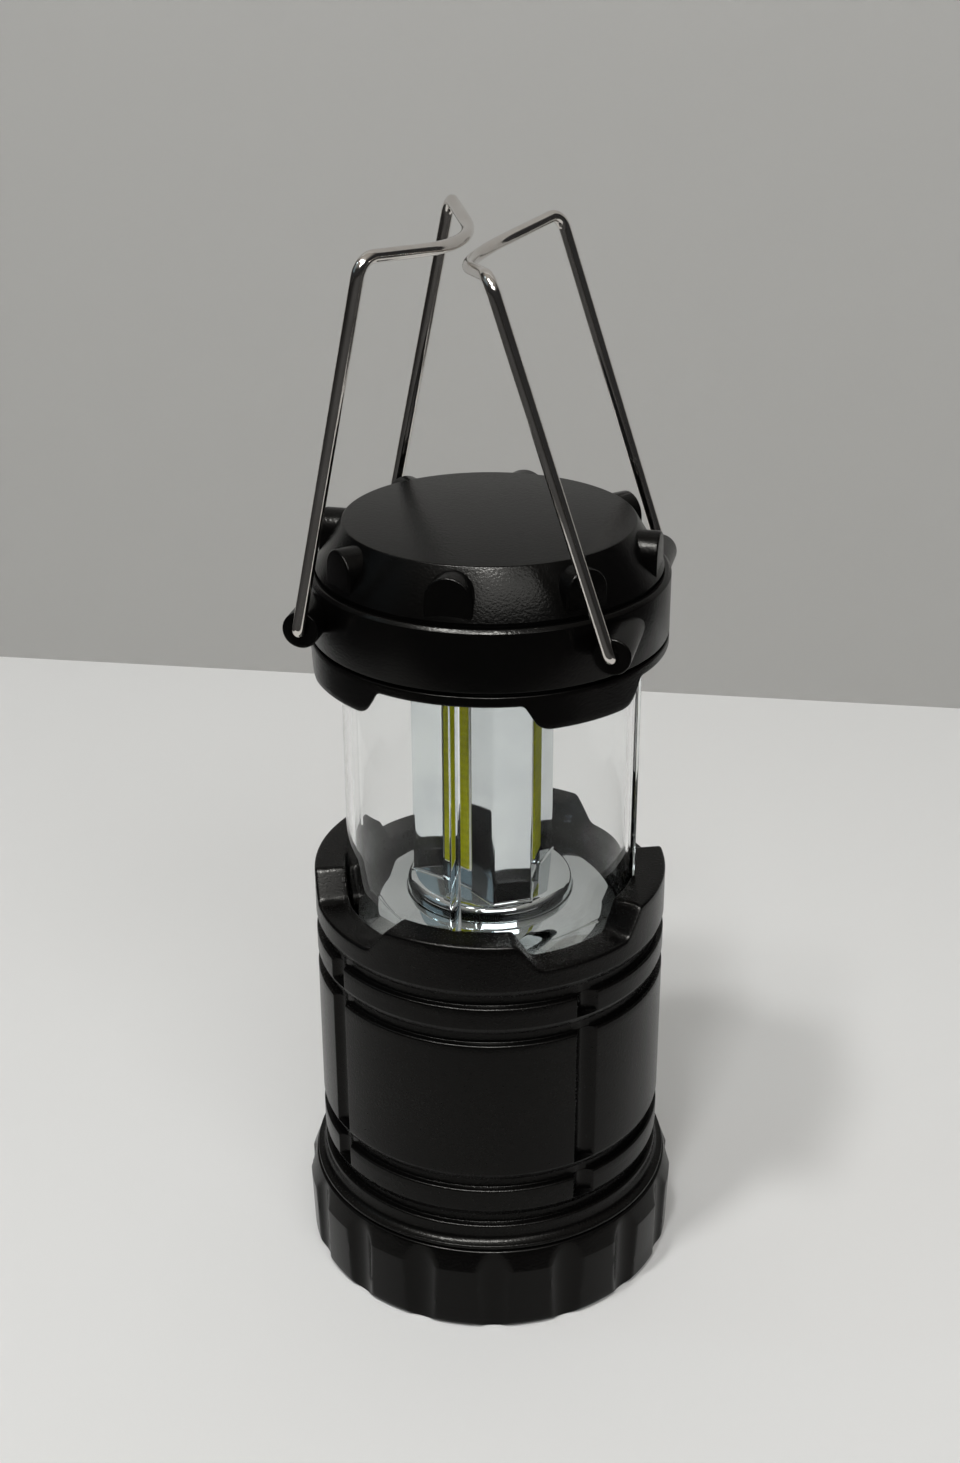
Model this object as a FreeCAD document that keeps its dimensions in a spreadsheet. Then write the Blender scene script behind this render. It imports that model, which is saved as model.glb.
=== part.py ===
import FreeCAD, Part
import math
import os
import Sketcher
from types import SimpleNamespace
from FreeCAD import Placement, Rotation, Vector

# Camping lantern whose lamp head pulls up out of its base, modelled pulled up.
# Millimetres, +Z up, origin on the ground under the lantern's axis.
# The right handle turns on the +X side and the left handle on the -X side.

DRIVING = {
    # Battery cover: the scalloped foot that twists onto the base
    "cover_radius": 44.0,
    "cover_foot_radius": 43.5,
    "cover_foot_rounding": 1.6,
    "cover_wall_top": 16.3,
    "cover_top": 21.0,
    "cover_top_radius": 42.3,
    "cover_inner_radius": 40.4,
    "cover_floor": 2.4,
    "scallop_radius": 6.7,
    "scallop_depth": 1.5,
    "lug_reach": 39.3,
    "lug_bottom": 10.4,
    "lug_top": 12.4,
    "lug_sweep": 24.0,
    "seal_thickness": 0.6,
    # Base housing: a grooved shell with a floor, a battery neck and a thick rim
    "body_radius": 40.0,
    "bore_radius": 36.4,
    "collar_radius": 32.9,
    "collar_bottom": 86.0,
    "rim_top": 99.5,
    "rim_rounding": 0.6,
    "floor_top": 24.5,
    "floor_bottom": 22.0,
    "neck_radius": 38.9,
    "neck_inner_radius": 37.2,
    "neck_bottom": 3.2,
    "flange_radius": 42.0,
    "flange_bottom": 21.4,
    "flange_top": 22.3,
    "flange_rounding": 1.8,
    "bayonet_radius": 40.0,
    "bayonet_bottom": 8.0,
    "bayonet_top": 10.0,
    "bayonet_sweep": 34.0,
    "first_ledge": 84.2,
    "second_ledge": 74.8,
    "third_ledge": 36.2,
    "fourth_ledge": 26.4,
    "groove_depth": 1.6,
    "groove_height": 2.7,
    "lip_depth": 0.7,
    "lip_height": 1.7,
    "flute_radius": 2.8,
    "flute_depth": 1.8,
    "notch_floor": 93.1,
    "notch_foot": 11.6,
    "notch_mouth": 16.2,
    "notch_rounding": 1.8,
    # Batteries and their holder
    "cell_radius": 7.1,
    "cell_length": 49.0,
    "nub_radius": 2.7,
    "nub_length": 1.0,
    "cell_pitch": 15.0,
    "cell_height": 11.4,
    "trough_radius": 7.5,
    "tray_radius": 36.9,
    "tray_bottom": 15.4,
    "tray_wall": 2.0,
    "tray_wall_bottom": 4.4,
    "plate_thickness": 0.5,
    "plate_face": 26.1,
    "plate_width": 10.0,
    "plate_height": 8.0,
    "spring_foot": 5.2,
    "spring_tip": 3.2,
    "rail_width": 5.0,
    "rail_outer": 36.25,
    "rail_inner": 35.9,
    "pad_face": 35.6,
    "pad_bottom": 74.0,
    # Lens: a clear tube with four guide ribs
    "tube_radius": 32.45,
    "tube_wall": 1.9,
    "tube_top": 158.2,
    "rib_radius": 1.15,
    "rib_centre": 32.3,
    "rib_top": 154.8,
    "rib_slot_radius": 1.5,
    # Lamp carrier under the tube
    "carrier_radius": 35.0,
    "carrier_bottom": 82.4,
    "carrier_top": 85.4,
    "boss_top": 88.4,
    "boss_gap": 0.15,
    "board_radius": 20.0,
    "board_thickness": 1.6,
    "leaf_thickness": 0.4,
    # Reflectors and light strips
    "dish_floor": 90.6,
    "dish_crown": 93.3,
    "dish_shoulder": 25.4,
    "dish_shoulder_height": 92.6,
    "dish_edge": 89.9,
    "dish_rounding": 14.0,
    "disc_gap": 0.2,
    "disc_radius": 18.8,
    "disc_top": 97.0,
    "disc_rounding": 2.2,
    "tower_top": 156.4,
    "tower_face": 12.1,
    "tower_facet": 16.9,
    "tower_turn": 180.0,
    "tower_bore": 7.5,
    "tower_bore_top": 144.0,
    "hollow_depth": 1.4,
    "hollow_half": 12.0,
    "hollow_foot": 4.4,
    "light_board_width": 8.4,
    "light_board_thickness": 0.8,
    "strip_width": 7.8,
    "strip_thickness": 0.4,
    "strip_crown": 0.3,
    "strip_margin": 1.5,
    "screw_circle": 10.0,
    "screw_shank": 1.2,
    "screw_head": 2.5,
    "screw_head_height": 1.8,
    "screw_reach": 10.0,
    "screw_hole": 1.3,
    # Cap: skirt with tabs, band with pivot lugs, and the knobbed top
    "cap_radius": 38.7,
    "skirt_inner_radius": 35.9,
    "skirt_top": 156.4,
    "skirt_bottom": 154.1,
    "tab_bottom": 148.5,
    "tab_rounding": 1.8,
    "tab_flare": 2.4,
    "window_rounding": 0.8,
    "window_mouth": 18.3,
    "window_head": 15.2,
    "neck_ring_radius": 37.6,
    "neck_ring_bottom": 155.0,
    "tube_gap": 0.1,
    "band_bottom": 157.2,
    "band_top": 170.6,
    "band_bevel": 0.7,
    "band_seat": 169.2,
    "band_seat_radius": 37.05,
    "band_inner_radius": 35.2,
    "band_floor_thickness": 2.0,
    "cone_radius": 37.2,
    "cone_foot": 171.4,
    "spigot_radius": 36.95,
    "cap_top": 181.2,
    "plate_radius": 31.1,
    "cap_wall": 2.0,
    "knob_radius": 4.95,
    "knob_centre": 175.5,
    "knob_foot": 171.4,
    "knob_face": 36.5,
    "knob_root": 30.6,
    # Pivot lugs and wire handles
    "pivot_offset": 32.0,
    "pivot_height": 165.0,
    "pivot_lug_radius": 3.9,
    "pivot_lug_face": 32.3,
    "pivot_lug_root": 15.0,
    "pivot_hole_radius": 1.36,
    "pivot_hole_depth": 8.0,
    "wire_radius": 1.3,
    "leg_offset": 33.9,
    "leg_length": 77.4,
    "pin_length": 6.0,
    "crook": 14.9,
    "foot_bend": 1.55,
    "shoulder_bend": 3.6,
    "crook_bend": 40.0,
    "left_lean": 11.6,
    "right_lean": 18.3,
}

SCALLOPS = 16
SCALLOP_PHASE = 14.0
SIDES = 4
HALF_SIDE = 45.0
KNOBS = 8
FACES = 3
CELLS = 3
CLEAR = 1.0


class Size:
    """A length that holds its value and the sheet expression that keeps it up to date."""

    def __init__(self, value, text):
        self.value = value
        self.text = text

    def __add__(self, other):
        other = as_size(other)
        return Size(self.value + other.value, f"({self.text} + {other.text})")

    def __sub__(self, other):
        other = as_size(other)
        return Size(self.value - other.value, f"({self.text} - {other.text})")

    def __rsub__(self, other):
        return as_size(other) - self

    def __mul__(self, other):
        other = as_size(other)
        return Size(self.value * other.value, f"({self.text} * {other.text})")

    def __neg__(self):
        return Size(-self.value, f"(-{self.text})")

    __radd__ = __add__
    __rmul__ = __mul__


def as_size(number):
    """The number itself where it already is a Size, or a Size with no cell behind it."""
    return number if isinstance(number, Size) else Size(float(number), f"{number:.9g}")


doc = FreeCAD.newDocument("camping_lantern")
sheet = doc.addObject("Spreadsheet::Sheet", "Dimensions")
for row, (name, value) in enumerate(DRIVING.items(), start=1):
    sheet.set(f"A{row}", name)
    sheet.set(f"B{row}", str(value))
    sheet.setAlias(f"B{row}", name)
doc.recompute()
dim = SimpleNamespace(**{name: Size(value, f"Dimensions.{name}") for name, value in DRIVING.items()})
nodes = []


def new_body(label):
    body = doc.addObject("PartDesign::Body", label)
    body.Label = label
    nodes.append(body)
    return body


def origin_of(body, role):
    return next(feature for feature in body.Origin.OriginFeatures if feature.Role == role)


def bind(thing, **sizes):
    """Ties properties of a document object to the sheet."""
    for name, size in sizes.items():
        thing.setExpression(name, as_size(size).text)


def new_sketch(body, plane, offset=0, turn=0):
    """Sketch on an origin plane, turned about the lantern's axis and moved along its own normal."""
    sketch = body.newObject("Sketcher::SketchObject", "Sketch")
    sketch.AttachmentSupport = [(origin_of(body, plane), "")]
    sketch.MapMode = "FlatFace"
    upright = plane != "XY_Plane"
    axis = Vector(0, 1, 0) if upright else Vector(0, 0, 1)
    rotation = Rotation(axis, turn)
    normal = rotation.multVec(Vector(0, 0, 1))
    sketch.AttachmentOffset = Placement(Vector(), rotation)
    sketch.setExpression("AttachmentOffset.Base.x", (as_size(offset) * normal.x).text)
    sketch.setExpression("AttachmentOffset.Base.z", (as_size(offset) * normal.z).text)
    return sketch


def tie(sketch, kind, places, size):
    """Adds a driving constraint and ties its value to the sheet."""
    size = as_size(size)
    number = sketch.addConstraint(Sketcher.Constraint(kind, *places, size.value))
    sketch.setExpression(f"Constraints[{number}]", size.text)


def tie_point(sketch, shape, point, x, y):
    tie(sketch, "DistanceX", (-1, 1, shape, point), x)
    tie(sketch, "DistanceY", (-1, 1, shape, point), y)


def draw_outline(sketch, corners, rounding=None):
    """Closed outline of straight lines; rounding gives the radius of a corner by its number."""
    first = sketch.GeometryCount
    count = len(corners)
    places = [Vector(as_size(x).value, as_size(y).value, 0) for x, y in corners]
    for here, there in zip(places, places[1:] + places[:1]):
        sketch.addGeometry(Part.LineSegment(here, there), False)
    for side in range(count):
        following = first + (side + 1) % count
        sketch.addConstraint(Sketcher.Constraint("Coincident", first + side, 2, following, 1))
    for corner, (x, y) in enumerate(corners):
        tie_point(sketch, first + corner, 1, x, y)
    for corner, radius in (rounding or {}).items():
        sketch.fillet(first + corner, 1, as_size(radius).value, True, True)
        arc = sketch.GeometryCount - 2
        tie(sketch, "Radius", (arc,), radius)


def draw_circle(sketch, x, y, radius):
    x, y, radius = as_size(x), as_size(y), as_size(radius)
    centre = Vector(x.value, y.value, 0)
    circle = sketch.addGeometry(Part.Circle(centre, Vector(0, 0, 1), radius.value), False)
    tie_point(sketch, circle, 3, x, y)
    tie(sketch, "Radius", (circle,), radius)


def draw_arch(sketch, radius, foot, springing):
    """Upright arch about the vertical axis: two legs from the foot and a half circle over them."""
    r, low, high = radius.value, foot.value, springing.value
    sketch.addGeometry(Part.LineSegment(Vector(-r, low, 0), Vector(r, low, 0)), False)
    sketch.addGeometry(Part.LineSegment(Vector(r, low, 0), Vector(r, high, 0)), False)
    crown = Part.Circle(Vector(0, high, 0), Vector(0, 0, 1), r)
    sketch.addGeometry(Part.ArcOfCircle(crown, 0, math.pi), False)
    sketch.addGeometry(Part.LineSegment(Vector(-r, high, 0), Vector(-r, low, 0)), False)
    for here, there in ((0, 1), (1, 2), (2, 3), (3, 0)):
        sketch.addConstraint(Sketcher.Constraint("Coincident", here, 2, there, 1))
    tie_point(sketch, 0, 1, -radius, foot)
    tie_point(sketch, 0, 2, radius, foot)
    tie_point(sketch, 1, 2, radius, springing)
    tie_point(sketch, 2, 3, 0, springing)
    tie(sketch, "DistanceY", (-1, 1, 3, 1), springing)


def revolve(body, corners, rounding=None, cut=False, sweep=None):
    """Turns a profile of (radius, height) corners about the lantern's axis."""
    sketch = new_sketch(body, "XZ_Plane")
    draw_outline(sketch, corners, rounding)
    feature = body.newObject("PartDesign::Groove" if cut else "PartDesign::Revolution", "Turned")
    feature.Profile = sketch
    feature.ReferenceAxis = (sketch, ["V_Axis"])
    feature.Angle = 360
    if sweep:
        feature.Midplane = True
        bind(feature, Angle=sweep)
    return feature


def extrude(body, sketch, length, cut=False, outward=False, both=False):
    """Pads or pockets a sketch; outward sends it the other way and both makes it symmetric."""
    feature = body.newObject("PartDesign::Pocket" if cut else "PartDesign::Pad", "Extruded")
    feature.Profile = sketch
    bind(feature, Length=length)
    feature.Reversed = outward
    feature.Midplane = both
    return feature


def repeat_around(body, features, count):
    pattern = body.newObject("PartDesign::PolarPattern", "Around")
    pattern.Originals = features
    pattern.Axis = (origin_of(body, "Z_Axis"), [""])
    pattern.Angle = 360
    pattern.Occurrences = count
    body.Tip = pattern


def mirror(body, features, plane):
    pattern = body.newObject("PartDesign::Mirrored", "Mirrored")
    pattern.Originals = features
    pattern.MirrorPlane = (origin_of(body, plane), [""])
    body.Tip = pattern


def upright_holes(body, circle_radius, hole_radius, top, depth, count, turn):
    """Round holes sunk from a height, spread about the axis."""
    sketch = new_sketch(body, "XY_Plane", top, turn)
    draw_circle(sketch, circle_radius, 0, hole_radius)
    repeat_around(body, [extrude(body, sketch, depth, cut=True)], count)


# Base housing


def make_body_shell():
    """Grooved housing: rim collar above, floor and battery neck below, all one moulding."""
    body = new_body("body_shell")
    profile = [
        (0, dim.floor_bottom),
        (dim.neck_inner_radius, dim.floor_bottom),
        (dim.neck_inner_radius, dim.neck_bottom),
        (dim.neck_radius, dim.neck_bottom),
        (dim.neck_radius, dim.flange_bottom),
        (dim.flange_radius, dim.flange_bottom),
        (dim.flange_radius, dim.flange_top),
        (dim.body_radius, dim.flange_top),
        (dim.body_radius, dim.rim_top),
        (dim.collar_radius, dim.rim_top),
        (dim.collar_radius, dim.collar_bottom),
        (dim.bore_radius, dim.collar_bottom),
        (dim.bore_radius, dim.floor_top),
        (0, dim.floor_top),
    ]
    flange_corner, outer_rim, inner_rim = 7, 8, 9
    rounding = {
        flange_corner: dim.flange_rounding,
        outer_rim: dim.rim_rounding,
        inner_rim: dim.rim_rounding,
    }
    revolve(body, profile, rounding)
    ledges = (dim.first_ledge, dim.second_ledge, dim.third_ledge, dim.fourth_ledge)
    for ledge in ledges:
        cut_ring_groove(body, ledge)
    bands = zip(ledges, ledges[1:])
    flutes = [cut_flute(body, ledge, lower + lip_top()) for ledge, lower in bands]
    repeat_around(body, flutes, SIDES)
    cut_rim_notches(body)
    upright_holes(
        body, dim.rib_centre, dim.rib_slot_radius, dim.rim_top, dim.rim_top - dim.collar_bottom, SIDES, 0
    )
    cut_tray_screw_holes(body, dim.screw_hole, dim.floor_bottom, dim.floor_top - dim.floor_bottom - 0.5)
    ledge_profile = [
        (dim.neck_radius - 0.5, dim.bayonet_bottom),
        (dim.bayonet_radius, dim.bayonet_bottom),
        (dim.bayonet_radius, dim.bayonet_top),
        (dim.neck_radius - 0.5, dim.bayonet_top),
    ]
    repeat_around(body, [revolve(body, ledge_profile, sweep=dim.bayonet_sweep)], FACES)


def lip_top():
    """Height of a groove's upper edge above its ledge."""
    return dim.groove_height + dim.lip_height


def cut_ring_groove(body, ledge):
    """Groove with a flat ledge below, a plain floor and a sloping lip above."""
    floor = dim.body_radius - dim.groove_depth
    lip = dim.body_radius - dim.lip_depth
    outside = dim.body_radius + CLEAR
    profile = [
        (outside, ledge),
        (floor, ledge),
        (floor, ledge + dim.groove_height),
        (lip, ledge + dim.groove_height),
        (dim.body_radius, ledge + lip_top()),
        (outside, ledge + lip_top()),
    ]
    revolve(body, profile, cut=True)


def cut_flute(body, ledge, foot):
    """Half-round upright flute from the groove above a band down to the band's lower edge."""
    top = ledge + dim.groove_height
    sketch = new_sketch(body, "XY_Plane", top, HALF_SIDE)
    draw_circle(sketch, dim.body_radius - dim.flute_depth + dim.flute_radius, 0, dim.flute_radius)
    return extrude(body, sketch, top - foot, cut=True)


def cut_rim_notches(body):
    """Notches with radial sides that take the cap's tabs when the lamp is pushed down."""
    height = DRIVING["rim_top"] - DRIVING["notch_floor"]
    slope = (dim.notch_mouth - dim.notch_foot) * (1 / height)
    above = dim.rim_top + CLEAR
    mouth = dim.notch_mouth + slope * CLEAR
    sections = []
    for radius in (dim.collar_radius - CLEAR, dim.body_radius + CLEAR):
        share = radius.value / DRIVING["body_radius"]
        sketch = new_sketch(body, "XZ_Plane", radius, HALF_SIDE)
        corners = [
            (-dim.notch_foot * share, dim.notch_floor),
            (dim.notch_foot * share, dim.notch_floor),
            (mouth * share, above),
            (-mouth * share, above),
        ]
        draw_outline(sketch, corners, {0: dim.notch_rounding, 1: dim.notch_rounding})
        sections.append(sketch)
    notch = body.newObject("PartDesign::SubtractiveLoft", "Notch")
    notch.Profile = sections[0]
    notch.Sections = sections[1:]
    notch.Ruled = True
    repeat_around(body, [notch], SIDES)


def tray_screw_circle():
    return 0.5 * (dim.cell_pitch + dim.cell_radius + dim.tray_radius) + CLEAR


def cut_tray_screw_holes(body, radius, bottom, depth):
    sketch = new_sketch(body, "XY_Plane", bottom)
    for side in (-1, 1):
        draw_circle(sketch, side * tray_screw_circle(), 0, radius)
    extrude(body, sketch, depth, cut=True, outward=True)


def make_battery_tray():
    """Holder under the floor: troughs over the cells and a wall at each end for the contacts."""
    body = new_body("battery_tray")
    profile = [
        (0, dim.tray_bottom),
        (dim.tray_radius, dim.tray_bottom),
        (dim.tray_radius, dim.floor_bottom),
        (0, dim.floor_bottom),
    ]
    revolve(body, profile)
    sketch = new_sketch(body, "XZ_Plane")
    for place in cell_places():
        draw_circle(sketch, place, dim.cell_height, dim.trough_radius)
    extrude(body, sketch, 2 * dim.plate_face, cut=True, both=True)
    half_width = dim.cell_pitch + dim.cell_radius
    sketch = new_sketch(body, "XZ_Plane", dim.plate_face + dim.plate_thickness)
    wall = [
        (-half_width, dim.tray_wall_bottom),
        (half_width, dim.tray_wall_bottom),
        (half_width, dim.tray_bottom + CLEAR),
        (-half_width, dim.tray_bottom + CLEAR),
    ]
    draw_outline(sketch, wall)
    mirror(body, [extrude(body, sketch, dim.tray_wall)], "XZ_Plane")
    cut_tray_screw_holes(body, dim.screw_hole, dim.tray_bottom, dim.floor_bottom - dim.tray_bottom)


def cell_places():
    """The cells' places across the tray."""
    middle = (CELLS - 1) / 2
    return [(number - middle) * dim.cell_pitch for number in range(CELLS)]


def cell_points_back(number):
    """Cells lie in series, so every other one points the other way."""
    return number % 2 == 1


def make_cells():
    for number, place in enumerate(cell_places()):
        body = new_body(f"battery_cell_{number + 1}")
        top = dim.plate_face
        shoulder = top - dim.nub_length
        profile = [
            (0, shoulder - dim.cell_length),
            (dim.cell_radius, shoulder - dim.cell_length),
            (dim.cell_radius, shoulder),
            (dim.nub_radius, shoulder),
            (dim.nub_radius, top),
            (0, top),
        ]
        foot_edge, shoulder_edge = 1, 2
        revolve(body, profile, {foot_edge: 0.6, shoulder_edge: 0.9})
        body.Placement = lying(place, cell_points_back(number))


def lying(place, back):
    """Placement that lays an upright piece along Y over its cell's place."""
    turn = Rotation(Vector(1, 0, 0), 90 if back else -90)
    return Placement(Vector(place.value, 0, dim.cell_height.value), turn)


def plate_box(name, left, right, back):
    """One contact plate between two places across the tray."""
    box = doc.addObject("Part::Box", name)
    face = dim.plate_face
    width = right - left + dim.plate_width
    bind(box, Length=width, Width=dim.plate_thickness, Height=dim.plate_height)
    box.setExpression("Placement.Base.x", (left - 0.5 * dim.plate_width).text)
    box.setExpression("Placement.Base.y", (-face - dim.plate_thickness if back else face).text)
    box.setExpression("Placement.Base.z", (dim.cell_height - 0.5 * dim.plate_height).text)
    return box


def make_contacts():
    """Plates that join the cells in series, and the coned springs at their flat ends."""
    first, second, third = cell_places()
    plates = [
        plate_box("plate_plus", first, first, False),
        plate_box("plate_front_link", second, third, False),
        plate_box("plate_back_link", first, second, True),
        plate_box("plate_minus", third, third, True),
    ]
    group_node("contact_plates", plates)
    springs = []
    for number, place in enumerate(cell_places()):
        cone = doc.addObject("Part::Cone", f"spring_{number + 1}")
        gap = 2 * dim.plate_face - dim.nub_length - dim.cell_length
        bind(cone, Radius1=dim.spring_foot, Radius2=dim.spring_tip, Height=gap)
        back = cell_points_back(number)
        turn = Rotation(Vector(1, 0, 0), 90 if back else -90)
        start = dim.plate_face.value if back else -dim.plate_face.value
        cone.Placement = Placement(Vector(place.value, start, dim.cell_height.value), turn)
        springs.append(cone)
    group_node("contact_springs", springs)


def group_node(label, pieces):
    """Like pieces that share one node as separate solids."""
    group = doc.addObject("Part::Compound", label)
    group.Label = label
    group.Links = pieces
    nodes.append(group)


def make_contact_rails():
    """Two strips up the bore, each with a thicker pad that the lamp's leaf meets when pulled up."""
    body = new_body("contact_rails")
    sketch = new_sketch(body, "YZ_Plane")
    profile = [
        (dim.rail_inner, dim.floor_top),
        (dim.rail_outer, dim.floor_top),
        (dim.rail_outer, dim.collar_bottom),
        (dim.pad_face, dim.collar_bottom),
        (dim.pad_face, dim.pad_bottom),
        (dim.rail_inner, dim.pad_bottom - CLEAR),
    ]
    draw_outline(sketch, profile)
    mirror(body, [extrude(body, sketch, dim.rail_width, both=True)], "XZ_Plane")


def screw(name, x, y, seat, reach, head_up):
    """Pan screw: a head standing on its seat and a shank that reaches down or up from it."""
    head = doc.addObject("Part::Cylinder", f"{name}_head")
    bind(head, Radius=dim.screw_head, Height=dim.screw_head_height)
    shank = doc.addObject("Part::Cylinder", f"{name}_shank")
    bind(shank, Radius=dim.screw_shank, Height=reach)
    bind(head, **{"Placement.Base.z": seat if head_up else seat - dim.screw_head_height})
    bind(shank, **{"Placement.Base.z": seat - reach if head_up else seat})
    for piece in (head, shank):
        bind(piece, **{"Placement.Base.x": x, "Placement.Base.y": y})
    whole = doc.addObject("Part::Fuse", name)
    whole.Base = head
    whole.Tool = shank
    return whole


def make_tray_screws():
    reach = dim.floor_bottom - dim.tray_bottom + 1.5
    screws = [
        screw(f"tray_screw_{number}", side * tray_screw_circle(), 0, dim.tray_bottom, reach, False)
        for number, side in enumerate((-1, 1), start=1)
    ]
    group_node("tray_screws", screws)


# Battery cover


def make_battery_cover():
    """Scalloped foot: a cup with bayonet lugs inside and concave finger grips round it."""
    body = new_body("battery_cover")
    profile = [
        (0, 0),
        (dim.cover_foot_radius, 0),
        (dim.cover_radius, dim.cover_wall_top),
        (dim.cover_top_radius, dim.cover_top),
        (dim.cover_inner_radius, dim.cover_top),
        (dim.cover_inner_radius, dim.cover_floor),
        (0, dim.cover_floor),
    ]
    foot_edge = 1
    revolve(body, profile, {foot_edge: dim.cover_foot_rounding})
    sketch = new_sketch(body, "XY_Plane", dim.cover_top, SCALLOP_PHASE)
    centre = dim.cover_radius - dim.scallop_depth + dim.scallop_radius
    draw_circle(sketch, centre, 0, dim.scallop_radius)
    repeat_around(body, [extrude(body, sketch, dim.cover_top + CLEAR, cut=True)], SCALLOPS)
    lug = [
        (dim.lug_reach, dim.lug_bottom),
        (dim.cover_inner_radius + 0.5, dim.lug_bottom),
        (dim.cover_inner_radius + 0.5, dim.lug_top),
        (dim.lug_reach, dim.lug_top),
    ]
    repeat_around(body, [revolve(body, lug, sweep=dim.lug_sweep)], FACES)


def make_cover_seal():
    body = new_body("cover_seal")
    profile = [
        (dim.neck_inner_radius, dim.cover_floor),
        (dim.neck_radius, dim.cover_floor),
        (dim.neck_radius, dim.cover_floor + dim.seal_thickness),
        (dim.neck_inner_radius, dim.cover_floor + dim.seal_thickness),
    ]
    revolve(body, profile)


# Lamp head: carrier, lens and reflectors


def make_lamp_carrier():
    """Disc that the tube stands on, wider than the rim collar so that it stops the lamp's travel."""
    body = new_body("lamp_carrier")
    boss = dim.tube_radius - dim.tube_wall - dim.boss_gap
    profile = [
        (0, dim.carrier_bottom),
        (dim.carrier_radius, dim.carrier_bottom),
        (dim.carrier_radius, dim.carrier_top),
        (boss, dim.carrier_top),
        (boss, dim.boss_top),
        (0, dim.boss_top),
    ]
    revolve(body, profile)


def make_driver_board():
    body = new_body("driver_board")
    bottom = dim.carrier_bottom - dim.board_thickness
    profile = [
        (0, bottom),
        (dim.board_radius, bottom),
        (dim.board_radius, dim.carrier_bottom),
        (0, dim.carrier_bottom),
    ]
    revolve(body, profile)


def make_sliding_contacts():
    """Two leaf springs under the carrier that wipe onto the rails' pads."""
    body = new_body("sliding_contacts")
    sketch = new_sketch(body, "YZ_Plane")
    top = dim.carrier_bottom
    low = top - dim.leaf_thickness
    root = dim.board_radius + CLEAR
    bend = dim.carrier_radius - 1.6
    tip = dim.pad_face - 0.1
    drop = 2.0
    leaf = [
        (root, top),
        (bend, top),
        (tip, top - drop),
        (tip - dim.leaf_thickness, low - drop),
        (bend - dim.leaf_thickness, low),
        (root, low),
    ]
    draw_outline(sketch, leaf)
    mirror(body, [extrude(body, sketch, dim.rail_width, both=True)], "XZ_Plane")


def make_lens_tube():
    """Clear tube with four round guide ribs that run in the rim collar's slots."""
    body = new_body("lens_tube")
    inner = dim.tube_radius - dim.tube_wall
    profile = [
        (inner, dim.carrier_top),
        (dim.tube_radius, dim.carrier_top),
        (dim.tube_radius, dim.tube_top),
        (inner, dim.tube_top),
    ]
    revolve(body, profile)
    sketch = new_sketch(body, "XY_Plane", dim.carrier_top)
    draw_circle(sketch, dim.rib_centre, 0, dim.rib_radius)
    repeat_around(body, [extrude(body, sketch, dim.rib_top - dim.carrier_top)], SIDES)


def make_reflector_dish():
    """Chromed dish that falls away to its edge, with a seat for the foot of the tower."""
    body = new_body("reflector_dish")
    edge = dim.tube_radius - dim.tube_wall - dim.boss_gap
    seat = dim.disc_radius + dim.disc_gap
    profile = [
        (0, dim.boss_top),
        (edge, dim.boss_top),
        (edge, dim.dish_edge),
        (dim.dish_shoulder, dim.dish_shoulder_height),
        (seat, dim.dish_crown),
        (seat, dim.dish_floor),
        (0, dim.dish_floor),
    ]
    shoulder = 3
    revolve(body, profile, {shoulder: dim.dish_rounding})


def make_reflector_tower():
    """Three-sided chromed tower with blunt corners, hollow slotted faces, a rounded foot and a bore."""
    body = new_body("reflector_tower")
    profile = [
        (0, dim.dish_floor),
        (dim.disc_radius, dim.dish_floor),
        (dim.disc_radius, dim.disc_top),
        (0, dim.disc_top),
    ]
    top_edge = 2
    revolve(body, profile, {top_edge: dim.disc_rounding})
    sketch = new_sketch(body, "XY_Plane", dim.dish_floor + CLEAR, DRIVING["tower_turn"])
    draw_outline(sketch, tower_corners())
    extrude(body, sketch, dim.tower_top - dim.dish_floor - CLEAR)
    sketch = new_sketch(body, "XY_Plane", dim.tower_top, face_turn())
    hollow = dim.tower_face - dim.hollow_depth
    slot = light_seat()
    corners = [
        (slot, -dim.hollow_foot),
        (hollow, -dim.hollow_foot),
        (dim.tower_face, -dim.hollow_half),
        (dim.tower_face + CLEAR, -dim.hollow_half),
        (dim.tower_face + CLEAR, dim.hollow_half),
        (dim.tower_face, dim.hollow_half),
        (hollow, dim.hollow_foot),
        (slot, dim.hollow_foot),
    ]
    draw_outline(sketch, corners)
    cut = extrude(body, sketch, dim.tower_top - dim.disc_top, cut=True)
    repeat_around(body, [cut], FACES)
    bore = new_sketch(body, "XY_Plane", dim.dish_floor)
    draw_circle(bore, 0, 0, dim.tower_bore)
    extrude(body, bore, dim.tower_bore_top - dim.dish_floor, cut=True, outward=True)
    upright_holes(
        body, dim.screw_circle, dim.screw_hole, dim.tower_top, dim.screw_reach, FACES, DRIVING["tower_turn"]
    )


def tower_corners():
    """Equilateral triangle, cut off square at the blunt corners: two points for each."""
    blunt_half = (2 * dim.tower_face - dim.tower_facet) * math.tan(math.radians(30))
    corners = []
    for face in range(FACES):
        angle = 2 * math.pi * face / FACES
        for side in (-1, 1):
            x = dim.tower_facet * math.cos(angle) - side * blunt_half * math.sin(angle)
            y = dim.tower_facet * math.sin(angle) + side * blunt_half * math.cos(angle)
            corners.append((x, y))
    return corners


def face_turn():
    """Direction of the first wide face, half way between two blunt corners."""
    return DRIVING["tower_turn"] + 180.0 / FACES


def light_seat():
    """Distance from the axis of the slot's floor, where a board lies flush with the hollow."""
    return dim.tower_face - dim.hollow_depth - dim.light_board_thickness


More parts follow.
